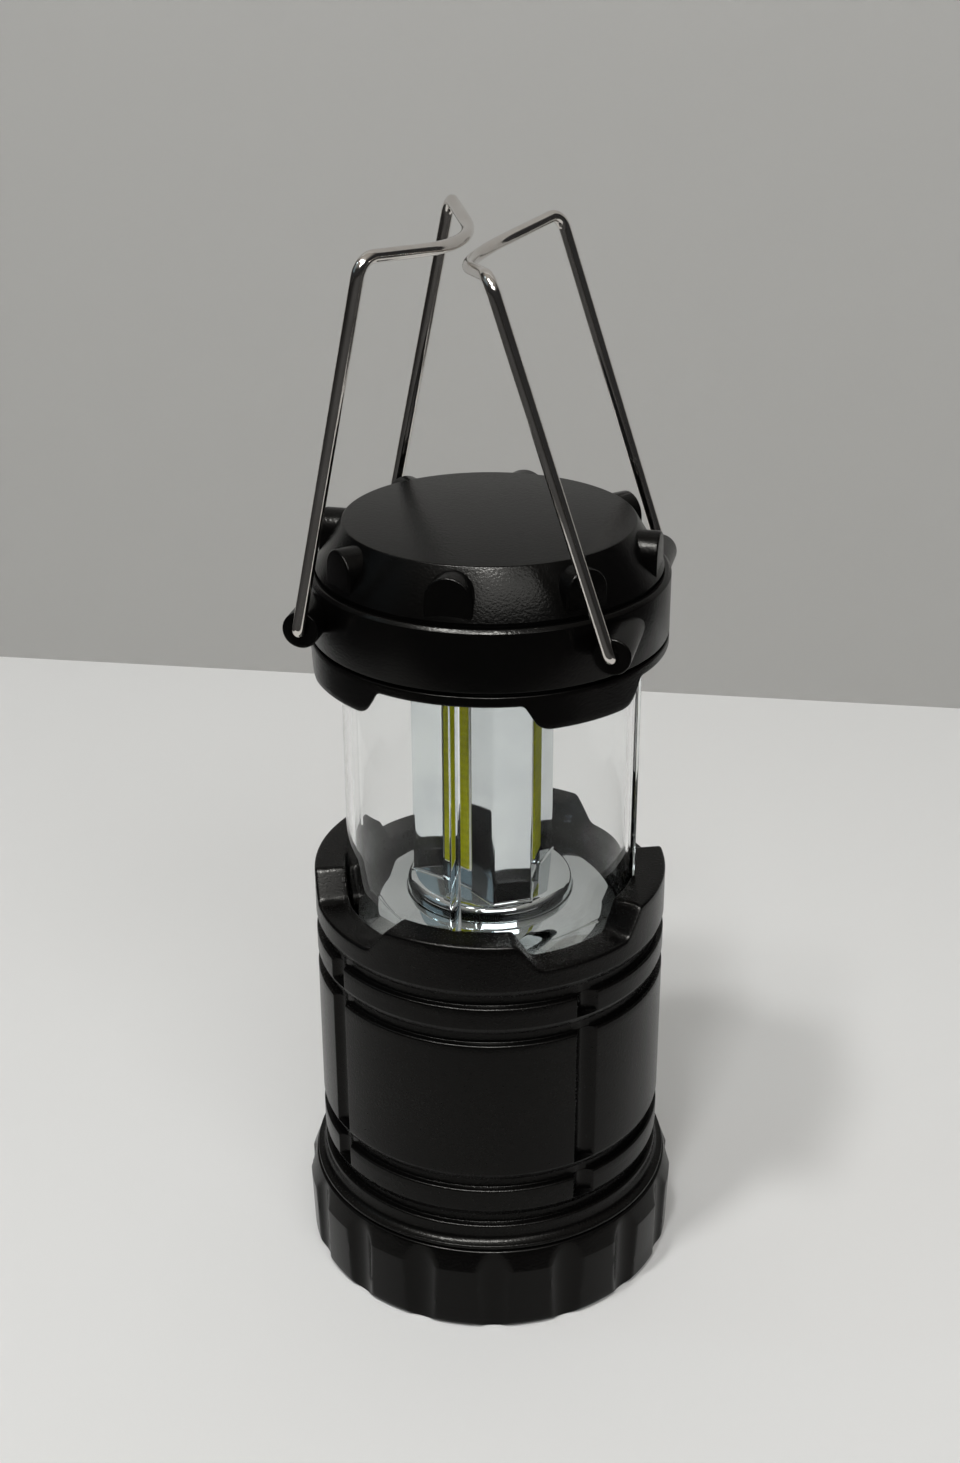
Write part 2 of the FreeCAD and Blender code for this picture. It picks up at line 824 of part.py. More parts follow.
def make_lights():
    """On each face of the tower, a board in the slot and a crowned light strip on the board."""
    seat = light_seat()
    for face in range(FACES):
        turn = face_turn() + face * 360.0 / FACES
        board = new_body(f"light_board_{face + 1}")
        front = seat + dim.light_board_thickness
        half = 0.5 * dim.light_board_width
        sketch = new_sketch(board, "XY_Plane", dim.disc_top, turn)
        draw_outline(sketch, [(seat, -half), (front, -half), (front, half), (seat, half)])
        extrude(board, sketch, dim.tower_top - dim.disc_top)
        strip = new_body(f"light_strip_{face + 1}")
        half = 0.5 * dim.strip_width
        crest = front + dim.strip_thickness
        shoulder = half - dim.strip_thickness
        outline = [(front, -half), (crest, -shoulder), (crest, shoulder), (front, half)]
        sketch = new_sketch(strip, "XY_Plane", dim.disc_top + dim.strip_margin, turn)
        draw_outline(sketch, outline, {1: dim.strip_crown, 2: dim.strip_crown})
        extrude(strip, sketch, dim.tower_top - dim.disc_top - 2 * dim.strip_margin)


def make_top_reflector():
    """Chromed disc between the tower and the cap, as wide as the tube's bore."""
    body = new_body("top_reflector")
    edge = dim.tube_radius - dim.tube_wall - dim.boss_gap
    profile = [(0, dim.tower_top), (edge, dim.tower_top), (edge, dim.tube_top), (0, dim.tube_top)]
    revolve(body, profile)
    depth = dim.tube_top - dim.tower_top
    upright_holes(
        body, dim.screw_circle, dim.screw_hole, dim.tube_top, depth, FACES, DRIVING["tower_turn"]
    )


# Lamp head: cap


def make_cap_skirt():
    """Lower ring of the cap, cut away between four tabs, with a narrower neck that makes the seam."""
    body = new_body("cap_skirt")
    neck = dim.tube_radius + dim.tube_gap
    profile = [
        (dim.skirt_inner_radius, dim.tab_bottom),
        (dim.cap_radius, dim.tab_bottom),
        (dim.cap_radius, dim.skirt_top),
        (dim.neck_ring_radius, dim.skirt_top),
        (dim.neck_ring_radius, dim.band_bottom),
        (neck, dim.band_bottom),
        (neck, dim.neck_ring_bottom),
        (dim.skirt_inner_radius, dim.neck_ring_bottom),
    ]
    revolve(body, profile)
    sketch = new_sketch(body, "XZ_Plane")
    below = dim.tab_bottom - CLEAR
    flare = dim.window_mouth + dim.tab_flare
    corners = [
        (-flare, below),
        (flare, below),
        (flare, dim.tab_bottom),
        (dim.window_mouth, dim.tab_bottom),
        (dim.window_head, dim.skirt_bottom),
        (-dim.window_head, dim.skirt_bottom),
        (-dim.window_mouth, dim.tab_bottom),
        (-flare, dim.tab_bottom),
    ]
    right_tab, right_head, left_head, left_tab = 3, 4, 5, 6
    rounding = {
        right_tab: dim.tab_rounding,
        right_head: dim.window_rounding,
        left_head: dim.window_rounding,
        left_tab: dim.tab_rounding,
    }
    draw_outline(sketch, corners, rounding)
    window = extrude(body, sketch, dim.cap_radius + CLEAR, cut=True, outward=True)
    repeat_around(body, [window], SIDES)


def make_cap_band():
    """Cap wall with a floor over the tube and four round lugs that carry the handles."""
    body = new_body("cap_band")
    floor = dim.tube_top + dim.band_floor_thickness
    tube_seat = dim.tube_radius + dim.tube_gap
    profile = [
        (0, dim.tube_top),
        (tube_seat, dim.tube_top),
        (tube_seat, dim.band_bottom),
        (dim.cap_radius, dim.band_bottom),
        (dim.cap_radius, dim.band_top - dim.band_bevel),
        (dim.cap_radius - dim.band_bevel, dim.band_top),
        (dim.band_seat_radius, dim.band_top),
        (dim.band_seat_radius, dim.band_seat),
        (dim.band_inner_radius, dim.band_seat),
        (dim.band_inner_radius, floor),
        (0, floor),
    ]
    revolve(body, profile)
    lugs = new_sketch(body, "XZ_Plane", dim.pivot_lug_root)
    holes = new_sketch(body, "XZ_Plane", dim.pivot_lug_face)
    for side in (-1, 1):
        draw_circle(lugs, side * dim.pivot_offset, dim.pivot_height, dim.pivot_lug_radius)
        draw_circle(holes, side * dim.pivot_offset, dim.pivot_height, dim.pivot_hole_radius)
    lug = extrude(body, lugs, dim.pivot_lug_face - dim.pivot_lug_root)
    hole = extrude(body, holes, dim.pivot_hole_depth, cut=True)
    mirror(body, [lug, hole], "XZ_Plane")
    depth = floor - dim.tube_top
    upright_holes(body, dim.screw_circle, dim.screw_hole, floor, depth, FACES, DRIVING["tower_turn"])


def make_cap_top():
    """Flat plate on a cone, with arched knobs round the cone and a spigot in the band."""
    body = new_body("cap_top")
    inner = dim.spigot_radius - dim.cap_wall
    under = dim.cap_top - dim.cap_wall
    profile = [
        (0, under),
        (dim.plate_radius - dim.cap_wall, under),
        (inner, dim.cone_foot - 0.5 * dim.cap_wall),
        (inner, dim.band_seat),
        (dim.spigot_radius, dim.band_seat),
        (dim.spigot_radius, dim.cone_foot),
        (dim.cone_radius, dim.cone_foot),
        (dim.plate_radius, dim.cap_top),
        (0, dim.cap_top),
    ]
    revolve(body, profile)
    sketch = new_sketch(body, "XZ_Plane", dim.knob_root)
    draw_arch(sketch, dim.knob_radius, dim.knob_foot, dim.knob_centre)
    repeat_around(body, [extrude(body, sketch, dim.knob_face - dim.knob_root)], KNOBS)


def make_tower_screws():
    floor = dim.tube_top + dim.band_floor_thickness
    screws = []
    for number in range(FACES):
        angle = math.radians(DRIVING["tower_turn"] + number * 360.0 / FACES)
        x = dim.screw_circle * math.cos(angle)
        y = dim.screw_circle * math.sin(angle)
        screws.append(screw(f"tower_screw_{number + 1}", x, y, floor, dim.screw_reach, True))
    group_node("tower_screws", screws)


# Wire handles


def bent_wire(corners, bends, radius):
    """Round wire along straight runs, with a tangent arc of the given radius at each inner corner."""
    edges = []
    start = corners[0]
    for before, corner, after, bend in zip(corners, corners[1:], corners[2:], bends):
        arriving = (corner - before).normalize()
        leaving = (after - corner).normalize()
        half_turn = arriving.getAngle(leaving) / 2
        setback = bend * math.tan(half_turn)
        arc_start = corner - arriving * setback
        arc_end = corner + leaving * setback
        inward = (leaving - arriving).normalize()
        arc_middle = corner + inward * (bend / math.cos(half_turn) - bend)
        edges.append(Part.LineSegment(start, arc_start).toShape())
        edges.append(Part.Arc(arc_start, arc_middle, arc_end).toShape())
        start = arc_end
    edges.append(Part.LineSegment(start, corners[-1]).toShape())
    path = Part.Wire(edges)
    section = Part.Wire(Part.Circle(corners[0], corners[1] - corners[0], radius).toShape())
    wire = path.makePipeShell([section], True, False)
    section_area = math.pi * radius**2
    print(f"wire length {path.Length:.1f}, volume over section {wire.Volume / section_area:.1f}")
    return wire


def make_handle(label, side, lean):
    """Bail of bent wire: a pin and a leg at each end, and a crooked bar that meets the other bail."""
    leg, length, crook = dim.leg_offset.value, dim.leg_length.value, dim.crook.value
    pin_end = dim.pivot_lug_face.value - dim.pin_length.value
    corners = [
        Vector(0, -pin_end, 0),
        Vector(0, -leg, 0),
        Vector(0, -leg, length),
        Vector(crook, 0, length),
        Vector(0, leg, length),
        Vector(0, leg, 0),
        Vector(0, pin_end, 0),
    ]
    foot, shoulder, tip = dim.foot_bend.value, dim.shoulder_bend.value, dim.crook_bend.value
    handle = doc.addObject("Part::Feature", label)
    handle.Label = label
    handle.Shape = bent_wire(corners, [foot, shoulder, tip, shoulder, foot], dim.wire_radius.value)
    facing_in = Rotation(Vector(0, 0, 1), 0 if side < 0 else 180)
    leaning_in = Rotation(Vector(0, 1, 0), -side * lean.value)
    pivot = Vector(side * dim.pivot_offset.value, 0, dim.pivot_height.value)
    handle.Placement = Placement(pivot, leaning_in * facing_in)
    nodes.append(handle)


def check_and_write():
    """Stops on any failed object or bad solid, then writes one file for each node."""
    doc.recompute()
    failed = [thing.Label for thing in doc.Objects if {"Invalid", "Error"} & set(thing.State)]
    if failed:
        raise RuntimeError(f"failed objects: {failed}")
    os.makedirs("parts", exist_ok=True)
    for node in nodes:
        if node.Shape.isNull() or not node.Shape.isValid() or not node.Shape.Solids:
            raise RuntimeError(f"bad shape: {node.Label}")
    for node in nodes:
        node.Shape.exportStep(f"parts/{node.Label}.step")
        print(node.Label, len(node.Shape.Solids), round(node.Shape.Volume, 1))


make_body_shell()
make_battery_tray()
make_cells()
make_contacts()
make_contact_rails()
make_tray_screws()
make_battery_cover()
make_cover_seal()
make_lamp_carrier()
make_driver_board()
make_sliding_contacts()
make_lens_tube()
make_reflector_dish()
make_reflector_tower()
make_lights()
make_top_reflector()
make_cap_skirt()
make_cap_band()
make_cap_top()
make_tower_screws()
make_handle("left_handle", -1, dim.left_lean)
make_handle("right_handle", 1, dim.right_lean)
check_and_write()
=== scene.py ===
# %% [markdown]
# # A pull-up camping lantern
# The CAD model gives the frame: every part at its true size and place, in metres, with its moving bodies.
# This lesson dresses that frame. A part could keep its CAD mesh, but that mesh has sharp edges and flat
# facets, so each part that shows is worked out again as a smooth surface and put where the CAD says.

# %% Load the frame
import math
import bmesh
import bpy
import numpy as np
from mathutils import Matrix, Vector


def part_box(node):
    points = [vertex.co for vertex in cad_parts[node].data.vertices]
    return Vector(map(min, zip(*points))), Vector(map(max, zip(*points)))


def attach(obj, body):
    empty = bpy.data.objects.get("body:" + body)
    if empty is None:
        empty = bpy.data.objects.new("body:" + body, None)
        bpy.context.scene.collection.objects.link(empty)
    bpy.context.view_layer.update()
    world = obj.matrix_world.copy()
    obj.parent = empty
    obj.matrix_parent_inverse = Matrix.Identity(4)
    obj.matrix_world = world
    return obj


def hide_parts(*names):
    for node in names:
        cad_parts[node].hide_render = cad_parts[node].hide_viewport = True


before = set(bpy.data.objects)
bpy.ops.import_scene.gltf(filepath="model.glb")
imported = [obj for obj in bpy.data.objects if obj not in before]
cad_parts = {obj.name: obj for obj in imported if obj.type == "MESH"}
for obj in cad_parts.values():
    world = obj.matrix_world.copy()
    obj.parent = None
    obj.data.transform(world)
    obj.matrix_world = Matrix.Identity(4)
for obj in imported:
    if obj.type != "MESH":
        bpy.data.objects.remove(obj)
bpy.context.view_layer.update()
MM = 0.001


def extent(node):
    """Lowest and highest corner of a CAD node, in millimetres."""
    low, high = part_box(node)
    return np.array(low) / MM, np.array(high) / MM


# %% [markdown]
# ## The camera
# The view was worked out from the ellipses of the lantern's rings: the eye stands 0.31 m above the ground
# and 0.39 m from the axis, a little to the right of the front, and looks down by 25 degrees.
# A camera could be aimed at a target, but the photograph isn't centred, so its angles are given.

# %% Camera
IMAGE_HEIGHT = 1463
FOCAL_PIXELS = 1917.2
SENSOR = 36.0
VIEW_SIDE = math.radians(13.0)
EYE_DISTANCE = 0.38537
EYE_HEIGHT = 0.31057
PITCH = math.radians(24.97)
YAW = math.radians(-0.29)
ROLL = math.radians(-0.07)


def camera_axes():
    """Right, up and forward of the view: forward dips by the pitch, turns by the yaw, then all roll."""
    ahead = np.array([0, math.cos(PITCH), -math.sin(PITCH)])
    above = np.array([0, math.sin(PITCH), math.cos(PITCH)])
    beside = np.array([1.0, 0, 0])
    forward = math.cos(YAW) * ahead + math.sin(YAW) * beside
    right = math.cos(YAW) * beside - math.sin(YAW) * ahead
    rolled_right = math.cos(ROLL) * right + math.sin(ROLL) * above
    rolled_up = math.cos(ROLL) * above - math.sin(ROLL) * right
    return rolled_right, rolled_up, forward


right, up, forward = camera_axes()
camera_data = bpy.data.cameras.new("photograph_view")
camera_data.sensor_width = SENSOR
camera_data.lens = FOCAL_PIXELS * SENSOR / IMAGE_HEIGHT
camera_data.clip_start = 0.01
camera = bpy.data.objects.new("photograph_view", camera_data)
bpy.context.scene.collection.objects.link(camera)
standing = np.eye(4)
standing[:3, :3] = np.stack([right, up, -forward], axis=1)
standing[:3, 3] = (0, -EYE_DISTANCE, EYE_HEIGHT)
camera.matrix_world = Matrix.Rotation(VIEW_SIDE, 4, "Z") @ Matrix(standing.tolist())
bpy.context.scene.camera = camera
bpy.context.scene.view_settings.view_transform = "Standard"
print("camera lens", round(camera_data.lens, 2), "mm")

# %% [markdown]
# ## Writing shader maths as Python
# Node trees grow long when every sum is a node made by hand. A small class wraps an output socket, so that
# an expression such as 0.3 + 0.2 * grain adds its own Math nodes.

# %% Sockets that do arithmetic


def overloads(operation):
    """An operator for a Math operation, and the reflected one, which has the plain number on its left."""

    def plain(socket, other):
        return socket.finish.node("Math", {"operation": operation}, {0: socket, 1: other})

    def reflected(socket, other):
        return socket.finish.node("Math", {"operation": operation}, {0: other, 1: socket})

    return plain, reflected


class Socket:
    """An output of a node. Arithmetic on it adds Math nodes, also with a plain number on the left."""

    def __init__(self, finish, output):
        self.finish = finish
        self.output = output

    __add__, __radd__ = overloads("ADD")
    __sub__, __rsub__ = overloads("SUBTRACT")
    __mul__, __rmul__ = overloads("MULTIPLY")
    __gt__, __lt__ = overloads("GREATER_THAN")


print("sockets do sums, products and comparisons")

# %% [markdown]
# ### One method for every node
# A node could be made with three calls each time: create it, set it, link it. One method does all three, for
# a material or for the world, and a few short forms save words in the finishes below.

# %% Finishes


class Finish:
    """A material, or the world, and the method that makes its nodes."""

    def __init__(self, owner):
        self.owner = owner
        owner.use_nodes = True
        self.tree = owner.node_tree
        self.tree.nodes.clear()

    def node(self, kind, settings=None, inputs=None, output=0):
        """Makes a node of a type, sets its settings or ramp stops, then gives its sockets values or links."""
        made = self.tree.nodes.new("ShaderNode" + kind)
        for name, value in (settings or {}).items():
            if name == "stops":
                self.set_stops(made.color_ramp, value)
            else:
                setattr(made, name, value)
        for name, value in (inputs or {}).items():
            if isinstance(value, Socket):
                self.tree.links.new(value.output, made.inputs[name])
            else:
                made.inputs[name].default_value = value
        return Socket(self, made.outputs[output]) if made.outputs else made

    def set_stops(self, ramp, stops):
        for element, (place, colour) in zip(ramp.elements, stops):
            element.position = place
            element.color = (*colour, 1.0)

    def ramp(self, value, *stops):
        """Colour that goes from one stop to the other, each a place and a colour, as the value rises."""
        return self.node("ValToRGB", {"stops": stops}, {"Fac": value})

    def noise(self, place, scale, detail=2.0):
        return self.node("TexNoise", None, {"Vector": place, "Scale": scale, "Detail": detail}, "Fac")

    def bump(self, height, strength, distance):
        return self.node("Bump", None, {"Height": height, "Strength": strength, "Distance": distance})

    def end(self, shader):
        self.node("OutputMaterial", None, {"Surface": shader})
        return self.owner

    def end_principled(self, inputs):
        return self.end(self.node("BsdfPrincipled", None, inputs))


def new_finish(name):
    """A new material and its object coordinates, which move with the piece."""
    finish = Finish(bpy.data.materials.new(name))
    return finish, finish.node("TexCoord", output="Object")


print("shader helpers ready")

# %% [markdown]
# ## Floor and wall
# The lantern stands on a pale matt floor before a grey wall. Both could be boxes, but one flat sheet each is
# enough. Their paint shows on the front only, so that a view from behind the wall isn't blocked by it.

# %% Floor and wall
FLOOR_HALF = 6.0
FLOOR_PALE = (0.70, 0.70, 0.69)
WALL_GREY = (0.42, 0.415, 0.40)
WALL_PLACE, WALL_TURN, WALL_HALF, WALL_HEIGHT = 0.325, math.radians(5.1), 0.45, 1.2
MATT = 0.9


def matt_paint(name, colour):
    """Matt paint that shows on the front of its sheet only, so that a view from behind sees through it."""
    finish = Finish(bpy.data.materials.new(name))
    paint = finish.node("BsdfPrincipled", None, {"Base Color": (*colour, 1.0), "Roughness": MATT})
    behind = finish.node("NewGeometry", output="Backfacing")
    clear = finish.node("BsdfTransparent")
    return finish.end(finish.node("MixShader", None, {0: behind, 1: paint, 2: clear}))


def lay_sheet(name, corners, turn, finish):
    """Flat sheet of four corners, turned about the lantern's axis."""
    mesh = bpy.data.meshes.new(name)
    mesh.from_pydata(corners, [], [(0, 1, 2, 3)])
    mesh.transform(Matrix.Rotation(turn, 4, "Z"))
    mesh.materials.append(finish)
    sheet = bpy.data.objects.new(name, mesh)
    bpy.context.scene.collection.objects.link(sheet)
    return sheet


def level(left, right, near, far, height):
    """Corners of a level rectangle, seen from the camera's side of the lantern."""
    return [(left, near, height), (right, near, height), (right, far, height), (left, far, height)]


floor_corners = level(-FLOOR_HALF, FLOOR_HALF, -FLOOR_HALF, FLOOR_HALF, 0)
wall_corners = [
    (-WALL_HALF, WALL_PLACE, 0),
    (WALL_HALF, WALL_PLACE, 0),
    (WALL_HALF, WALL_PLACE, WALL_HEIGHT),
    (-WALL_HALF, WALL_PLACE, WALL_HEIGHT),
]
lay_sheet("floor", floor_corners, 0, matt_paint("floor_paint", FLOOR_PALE))
lay_sheet("wall", wall_corners, WALL_TURN, matt_paint("wall_paint", WALL_GREY))
print("floor and wall")

# %% [markdown]
# ### What the plastic and the wires mirror
# Black plastic and bright wire show little but reflections, so the surroundings matter as much as the lamps.
# The wall greys the flat top of the cap, and the near floor lights the reflectors. A wide pale floor would
# make the wires all white, so black cards lie farther out, which only reflections see.

# %% Cards
CARD_BLACK = (0.012, 0.012, 0.012)
CARD_LIFT, CARD_START = 0.001, 0.36
NEAR_START, LEFT_START = 0.19, 0.29


def lay_card(name, *edges):
    """Black card on the floor that only reflections see."""
    card = lay_sheet(name, level(*edges, CARD_LIFT), VIEW_SIDE, card_black)
    card.visible_camera = False
    card.visible_diffuse = False
    card.visible_transmission = False
    card.visible_shadow = False


card_black = matt_paint("card_black", CARD_BLACK)
lay_card("front_card", -FLOOR_HALF, FLOOR_HALF, -FLOOR_HALF, -CARD_START)
lay_card("near_card", -CARD_START, CARD_START, -CARD_START, -NEAR_START)
lay_card("left_card", -FLOOR_HALF, -LEFT_START, -CARD_START, FLOOR_HALF)
lay_card("right_card", CARD_START, FLOOR_HALF, -CARD_START, FLOOR_HALF)
print("four cards")

# %% [markdown]
# ### Lamps and room
# Three soft lamps hang above the camera, a bluish window and a small spark stand on the left, and two glints
# that only gloss sees touch the rounded edges. One large lamp would be simpler, but its sheen would drown the
# narrow lines of light along the grooves.

# %% Lamps and room
ROOM_DARK = (0.03, 0.03, 0.031)
CEILING = (0.42, 0.40, 0.37)
WALL_SHARE, CEILING_SHARE = 0.45, 0.85
WINDOW_BLUE = (0.65, 0.88, 1.0)
LAMP_DISTANCE = 1.6
LAMP_AIM = Vector((0, 0, 0.1))


def light_room():
    """World: dark at the height of the walls and pale overhead, by the height of the direction looked in."""
    finish = Finish(bpy.data.worlds.new("plain_room"))
    direction = finish.node("TexCoord", output="Generated")
    height = finish.node("SeparateXYZ", None, {"Vector": direction}, "Z")
    paint = finish.ramp(height, (WALL_SHARE, ROOM_DARK), (CEILING_SHARE, CEILING))
    background = finish.node("Background", None, {"Color": paint})
    finish.node("OutputWorld", None, {"Surface": background})
    bpy.context.scene.world = finish.owner


def hang_lamp(name, side, height, size, power, colour=(1.0, 1.0, 1.0)):
    """Soft lamp of a width and depth, to the side of the camera by one angle and up by another."""
    lamp = bpy.data.lights.new(name, "AREA")
    lamp.color = colour
    lamp.shape = "RECTANGLE"
    lamp.size, lamp.size_y = size
    lamp.energy = power
    holder = bpy.data.objects.new(name, lamp)
    bpy.context.scene.collection.objects.link(holder)
    across, rise = VIEW_SIDE + math.radians(side), math.radians(height)
    aim = Vector((-math.sin(across) * math.cos(rise), math.cos(across) * math.cos(rise), -math.sin(rise)))
    facing = aim.to_track_quat("-Z", "Y").to_matrix().to_4x4()
    holder.matrix_world = Matrix.Translation(LAMP_AIM - LAMP_DISTANCE * aim) @ facing
    return holder


def hang_glint(name, side, height, size, power):
    """Small lamp that only gloss sees, for the glints on rounded edges."""
    holder = hang_lamp(name, side, height, size, power)
    holder.visible_diffuse = False
    holder.visible_transmission = False


light_room()
hang_lamp("left_lamp", -45, 66, (0.16, 0.16), 8.0)
hang_lamp("high_lamp", -16, 60, (0.14, 0.14), 6.5)
hang_lamp("wide_lamp", 14, 43, (1.1, 0.4), 8.0)
hang_lamp("window_lamp", -84, 30, (1.0, 0.7), 0.45, WINDOW_BLUE)
hang_lamp("spark_lamp", -96, 46, (0.12, 0.12), 0.35, WINDOW_BLUE)
hang_glint("left_glint", -45, 66, (0.1, 0.1), 18.0)
hang_glint("high_glint", 0, 60, (0.26, 0.1), 26.0)
print("five lamps, two glints and a room")

# %% [markdown]
# ## Surfaces from grids
# Nearly every part of a lantern is turned, drawn out or bent: an outline carried round an axis or along a
# line. So a part is an outline, a grid of points that carries it, and quads between the points.
# Bevel modifiers could soften the edges, but an outline with rounded corners says exactly how round.

# %% Rounded outlines


def rounded(corners, radii, steps):
    """Outline with an arc at each corner. The arc starts the radius times the tangent of half the turn
    before the corner; its points are start + arriving * R sin(a) + inward * R (1 - cos(a))."""
    corners = np.asarray(corners, float)
    radii = np.broadcast_to(np.asarray(radii, float), len(corners))[:, None]
    arriving = corners - np.roll(corners, 1, axis=0)
    arriving /= np.linalg.norm(arriving, axis=1, keepdims=True)
    leaving = np.roll(arriving, -1, axis=0)
    along = np.sum(arriving * leaving, axis=1, keepdims=True).clip(-1, 1)
    inward = leaving - along * arriving
    inward /= np.maximum(np.linalg.norm(inward, axis=1, keepdims=True), 1e-9)
    turn = np.arccos(along)
    start = corners - arriving * radii * np.tan(turn / 2) * (radii > 0)
    angle = turn[:, :, None] * np.linspace(0, 1, steps)[None, :, None]
    swing = arriving[:, None] * np.sin(angle) + inward[:, None] * (1 - np.cos(angle))
    points = (start[:, None] + radii[:, :, None] * swing).reshape(-1, corners.shape[1])
    apart = np.linalg.norm(points - np.roll(points, 1, axis=0), axis=1) > 1e-6
    return points[apart]


def refined(outline, longest, closed=True):
    """The same outline with every run cut into equal steps no longer than a length, given for all or each."""
    ends = np.roll(outline, -1, axis=0) if closed else outline[1:]
    starts = outline if closed else outline[:-1]
    steps = np.maximum(np.ceil(np.linalg.norm(ends - starts, axis=1) / longest), 1).astype(int)
    run = np.repeat(np.arange(len(steps)), steps)
    step = np.arange(steps.sum()) - np.repeat(np.cumsum(steps) - steps, steps)
    share = (step / steps[run])[:, None]
    points = starts[run] * (1 - share) + ends[run] * share
    return points if closed else np.vstack([points, outline[-1:]])


print("outlines can be rounded and refined")

# %% [markdown]
# ### Turning an outline
# A Screw modifier could turn an outline about the axis. Here the turn is a formula on whole arrays, so that a
# radius or a height may change with the angle too. Grips, flutes, notches and ribs all come about that way.

# %% Turned surfaces


def turned(radius, height, angle):
    """Surface of revolution: x = r cos(angle), y = r sin(angle), z = height, all three on one grid."""
    radius, height, angle = np.broadcast_arrays(radius, height, angle)
    return np.stack([radius * np.cos(angle), radius * np.sin(angle), height], axis=-1)


def angles_round(step, dense_at=(), half_width=0.0, dense_step=1.0):
    """Angles once round in equal degrees, with finer steps either side of some directions, in radians."""
    plain = np.arange(0, 360, step)
    fine = np.arange(-half_width, half_width + dense_step / 2, dense_step)
    extra = (np.asarray(dense_at, float)[:, None] + fine).ravel() % 360
    return np.radians(np.unique(np.round(np.concatenate([plain, extra]), 4)))


print("outlines can be turned")

# %% [markdown]
# ### From points to faces
# A grid primitive could be bent into shape, but quads between numbered points say the same in one array.
# Grids that close on themselves wrap round, and the ends of a drawn bar get a flat face.

# %% Woven grids


def woven(points, wrap_rows=True, capped=False):
    """Quads of a grid: each joins a point, the next in its row, and the two below these."""
    rows, columns = points.shape[:2]
    row = np.arange(rows if wrap_rows else rows - 1)[:, None]
    column = np.arange(columns)[None, :]
    below, beside = (row + 1) % rows, (column + 1) % columns
    here, lower = row * columns, below * columns
    quads = np.stack([here + column, here + beside, lower + beside, lower + column], axis=-1)
    faces = quads.reshape(-1, 4).tolist()
    if capped:
        faces.append(list(range(columns)))
        faces.append(list(range((rows - 1) * columns, rows * columns)))
    return points.reshape(-1, 3), faces


print("grids can be woven")

# %% [markdown]
# ### A piece of the scene
# Several grids may share one mesh. Points that meet, as on the axis, are merged, faces are turned outwards,
# and edges sharper than a crease stay sharp. The piece then rides on its moving body and stands in for its
# CAD part. The CAD meshes could be smoothed instead, but their flat facets would still show.

# %% Pieces
MERGE = 1e-7


def add_piece(name, grids, body, finish, node, crease=32):
    """Puts grids in one mesh, merges meeting points, smooths all but creases, ties it to its CAD body,
    and hides the CAD node that it stands for."""
    points, faces, count = [], [], 0
    for grid_points, grid_faces in grids:
        points.append(grid_points)
        faces.extend([[corner + count for corner in face] for face in grid_faces])
        count += len(grid_points)
    mesh = bpy.data.meshes.new(name)
    mesh.from_pydata((np.concatenate(points) * MM).tolist(), [], faces)
    work = bmesh.new()
    work.from_mesh(mesh)
    bmesh.ops.remove_doubles(work, verts=work.verts, dist=MERGE)
    bmesh.ops.dissolve_degenerate(work, edges=work.edges, dist=MERGE)
    bmesh.ops.recalc_face_normals(work, faces=work.faces)
    work.to_mesh(mesh)
    work.free()
    mesh.shade_smooth()
    mesh.set_sharp_from_angle(angle=math.radians(crease))
    mesh.materials.append(finish)
    piece = bpy.data.objects.new(name, mesh)
    bpy.context.scene.collection.objects.link(piece)
    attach(piece, body)
    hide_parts(node)
    print(name, len(mesh.polygons), "faces")


print("pieces can be added")

# %% [markdown]
# ## Black plastic
# The mouldings are satin black with a fine spark texture, which breaks every highlight into speckle, and
# highlights are a little warm. A picture of grain would repeat, so fine noise raises the surface and varies
# its gloss, and a broad noise keeps large faces from looking painted.

# %% Black plastic finish
GRAIN_SCALE = 2000
BROAD_SCALE = 35
GRAIN_HEIGHT = 0.00008
GLOSS_TINT = (1.0, 0.985, 0.93, 1.0)
BLACK_DEEP = (0.0010, 0.0010, 0.0010)
BLACK_WARM = (0.0020, 0.0018, 0.0017)


def black_plastic(name, smoothness=0.0, grain=0.6):
    """Satin black moulding: roughness and height follow a fine grain, colour a broad cloud."""
    finish, place = new_finish(name)
    grains = finish.noise(place, GRAIN_SCALE)
    clouds = finish.noise(place, BROAD_SCALE, 4.0)
    colour = finish.ramp(clouds, (0.3, BLACK_DEEP), (0.7, BLACK_WARM))
    return finish.end_principled(
        {
            "Base Color": colour,
            "Roughness": (0.17 - smoothness) + 0.12 * grains + 0.05 * clouds,
            "Normal": finish.bump(grains, grain, GRAIN_HEIGHT),
            "IOR": 1.47,
            "Specular IOR Level": 0.125,
            "Specular Tint": GLOSS_TINT,
        }
    )


shell_black = black_plastic("shell_black")
cap_black = black_plastic("cap_black", 0.03)
foot_black = black_plastic("foot_black", 0.03, 0.4)
print("black plastic in three moulds")

# %% [markdown]
# ## The scalloped foot
# The battery cover is a cup that twists onto the body, with sixteen finger grips cut into its wall. Boolean
# cuts would leave ragged edges, so each wall point is drawn in to the face of the nearest upright cutter.
# That takes three small formulas, which the body and the tube use again.

# %% Cutters


def offset_from(angle, first, count):
    """How far each angle is from the nearest of some equally spaced directions, signed, in radians."""
    pitch = 2 * math.pi / count
    return (angle - math.radians(first) + pitch / 2) % pitch - pitch / 2


def cutter_face(offset, centre, radius, side):
    """Distance from the axis to an upright cylinder along a ray: centre cos(offset), less or plus the root
    of radius squared less (centre sin(offset)) squared. A ray that misses gives a far or a zero distance."""
    square = radius**2 - (centre * np.sin(offset)) ** 2
    reach = centre * np.cos(offset) + side * np.sqrt(np.maximum(square, 0))
    return np.where(square > 0, reach, 1e3 if side < 0 else 0.0)


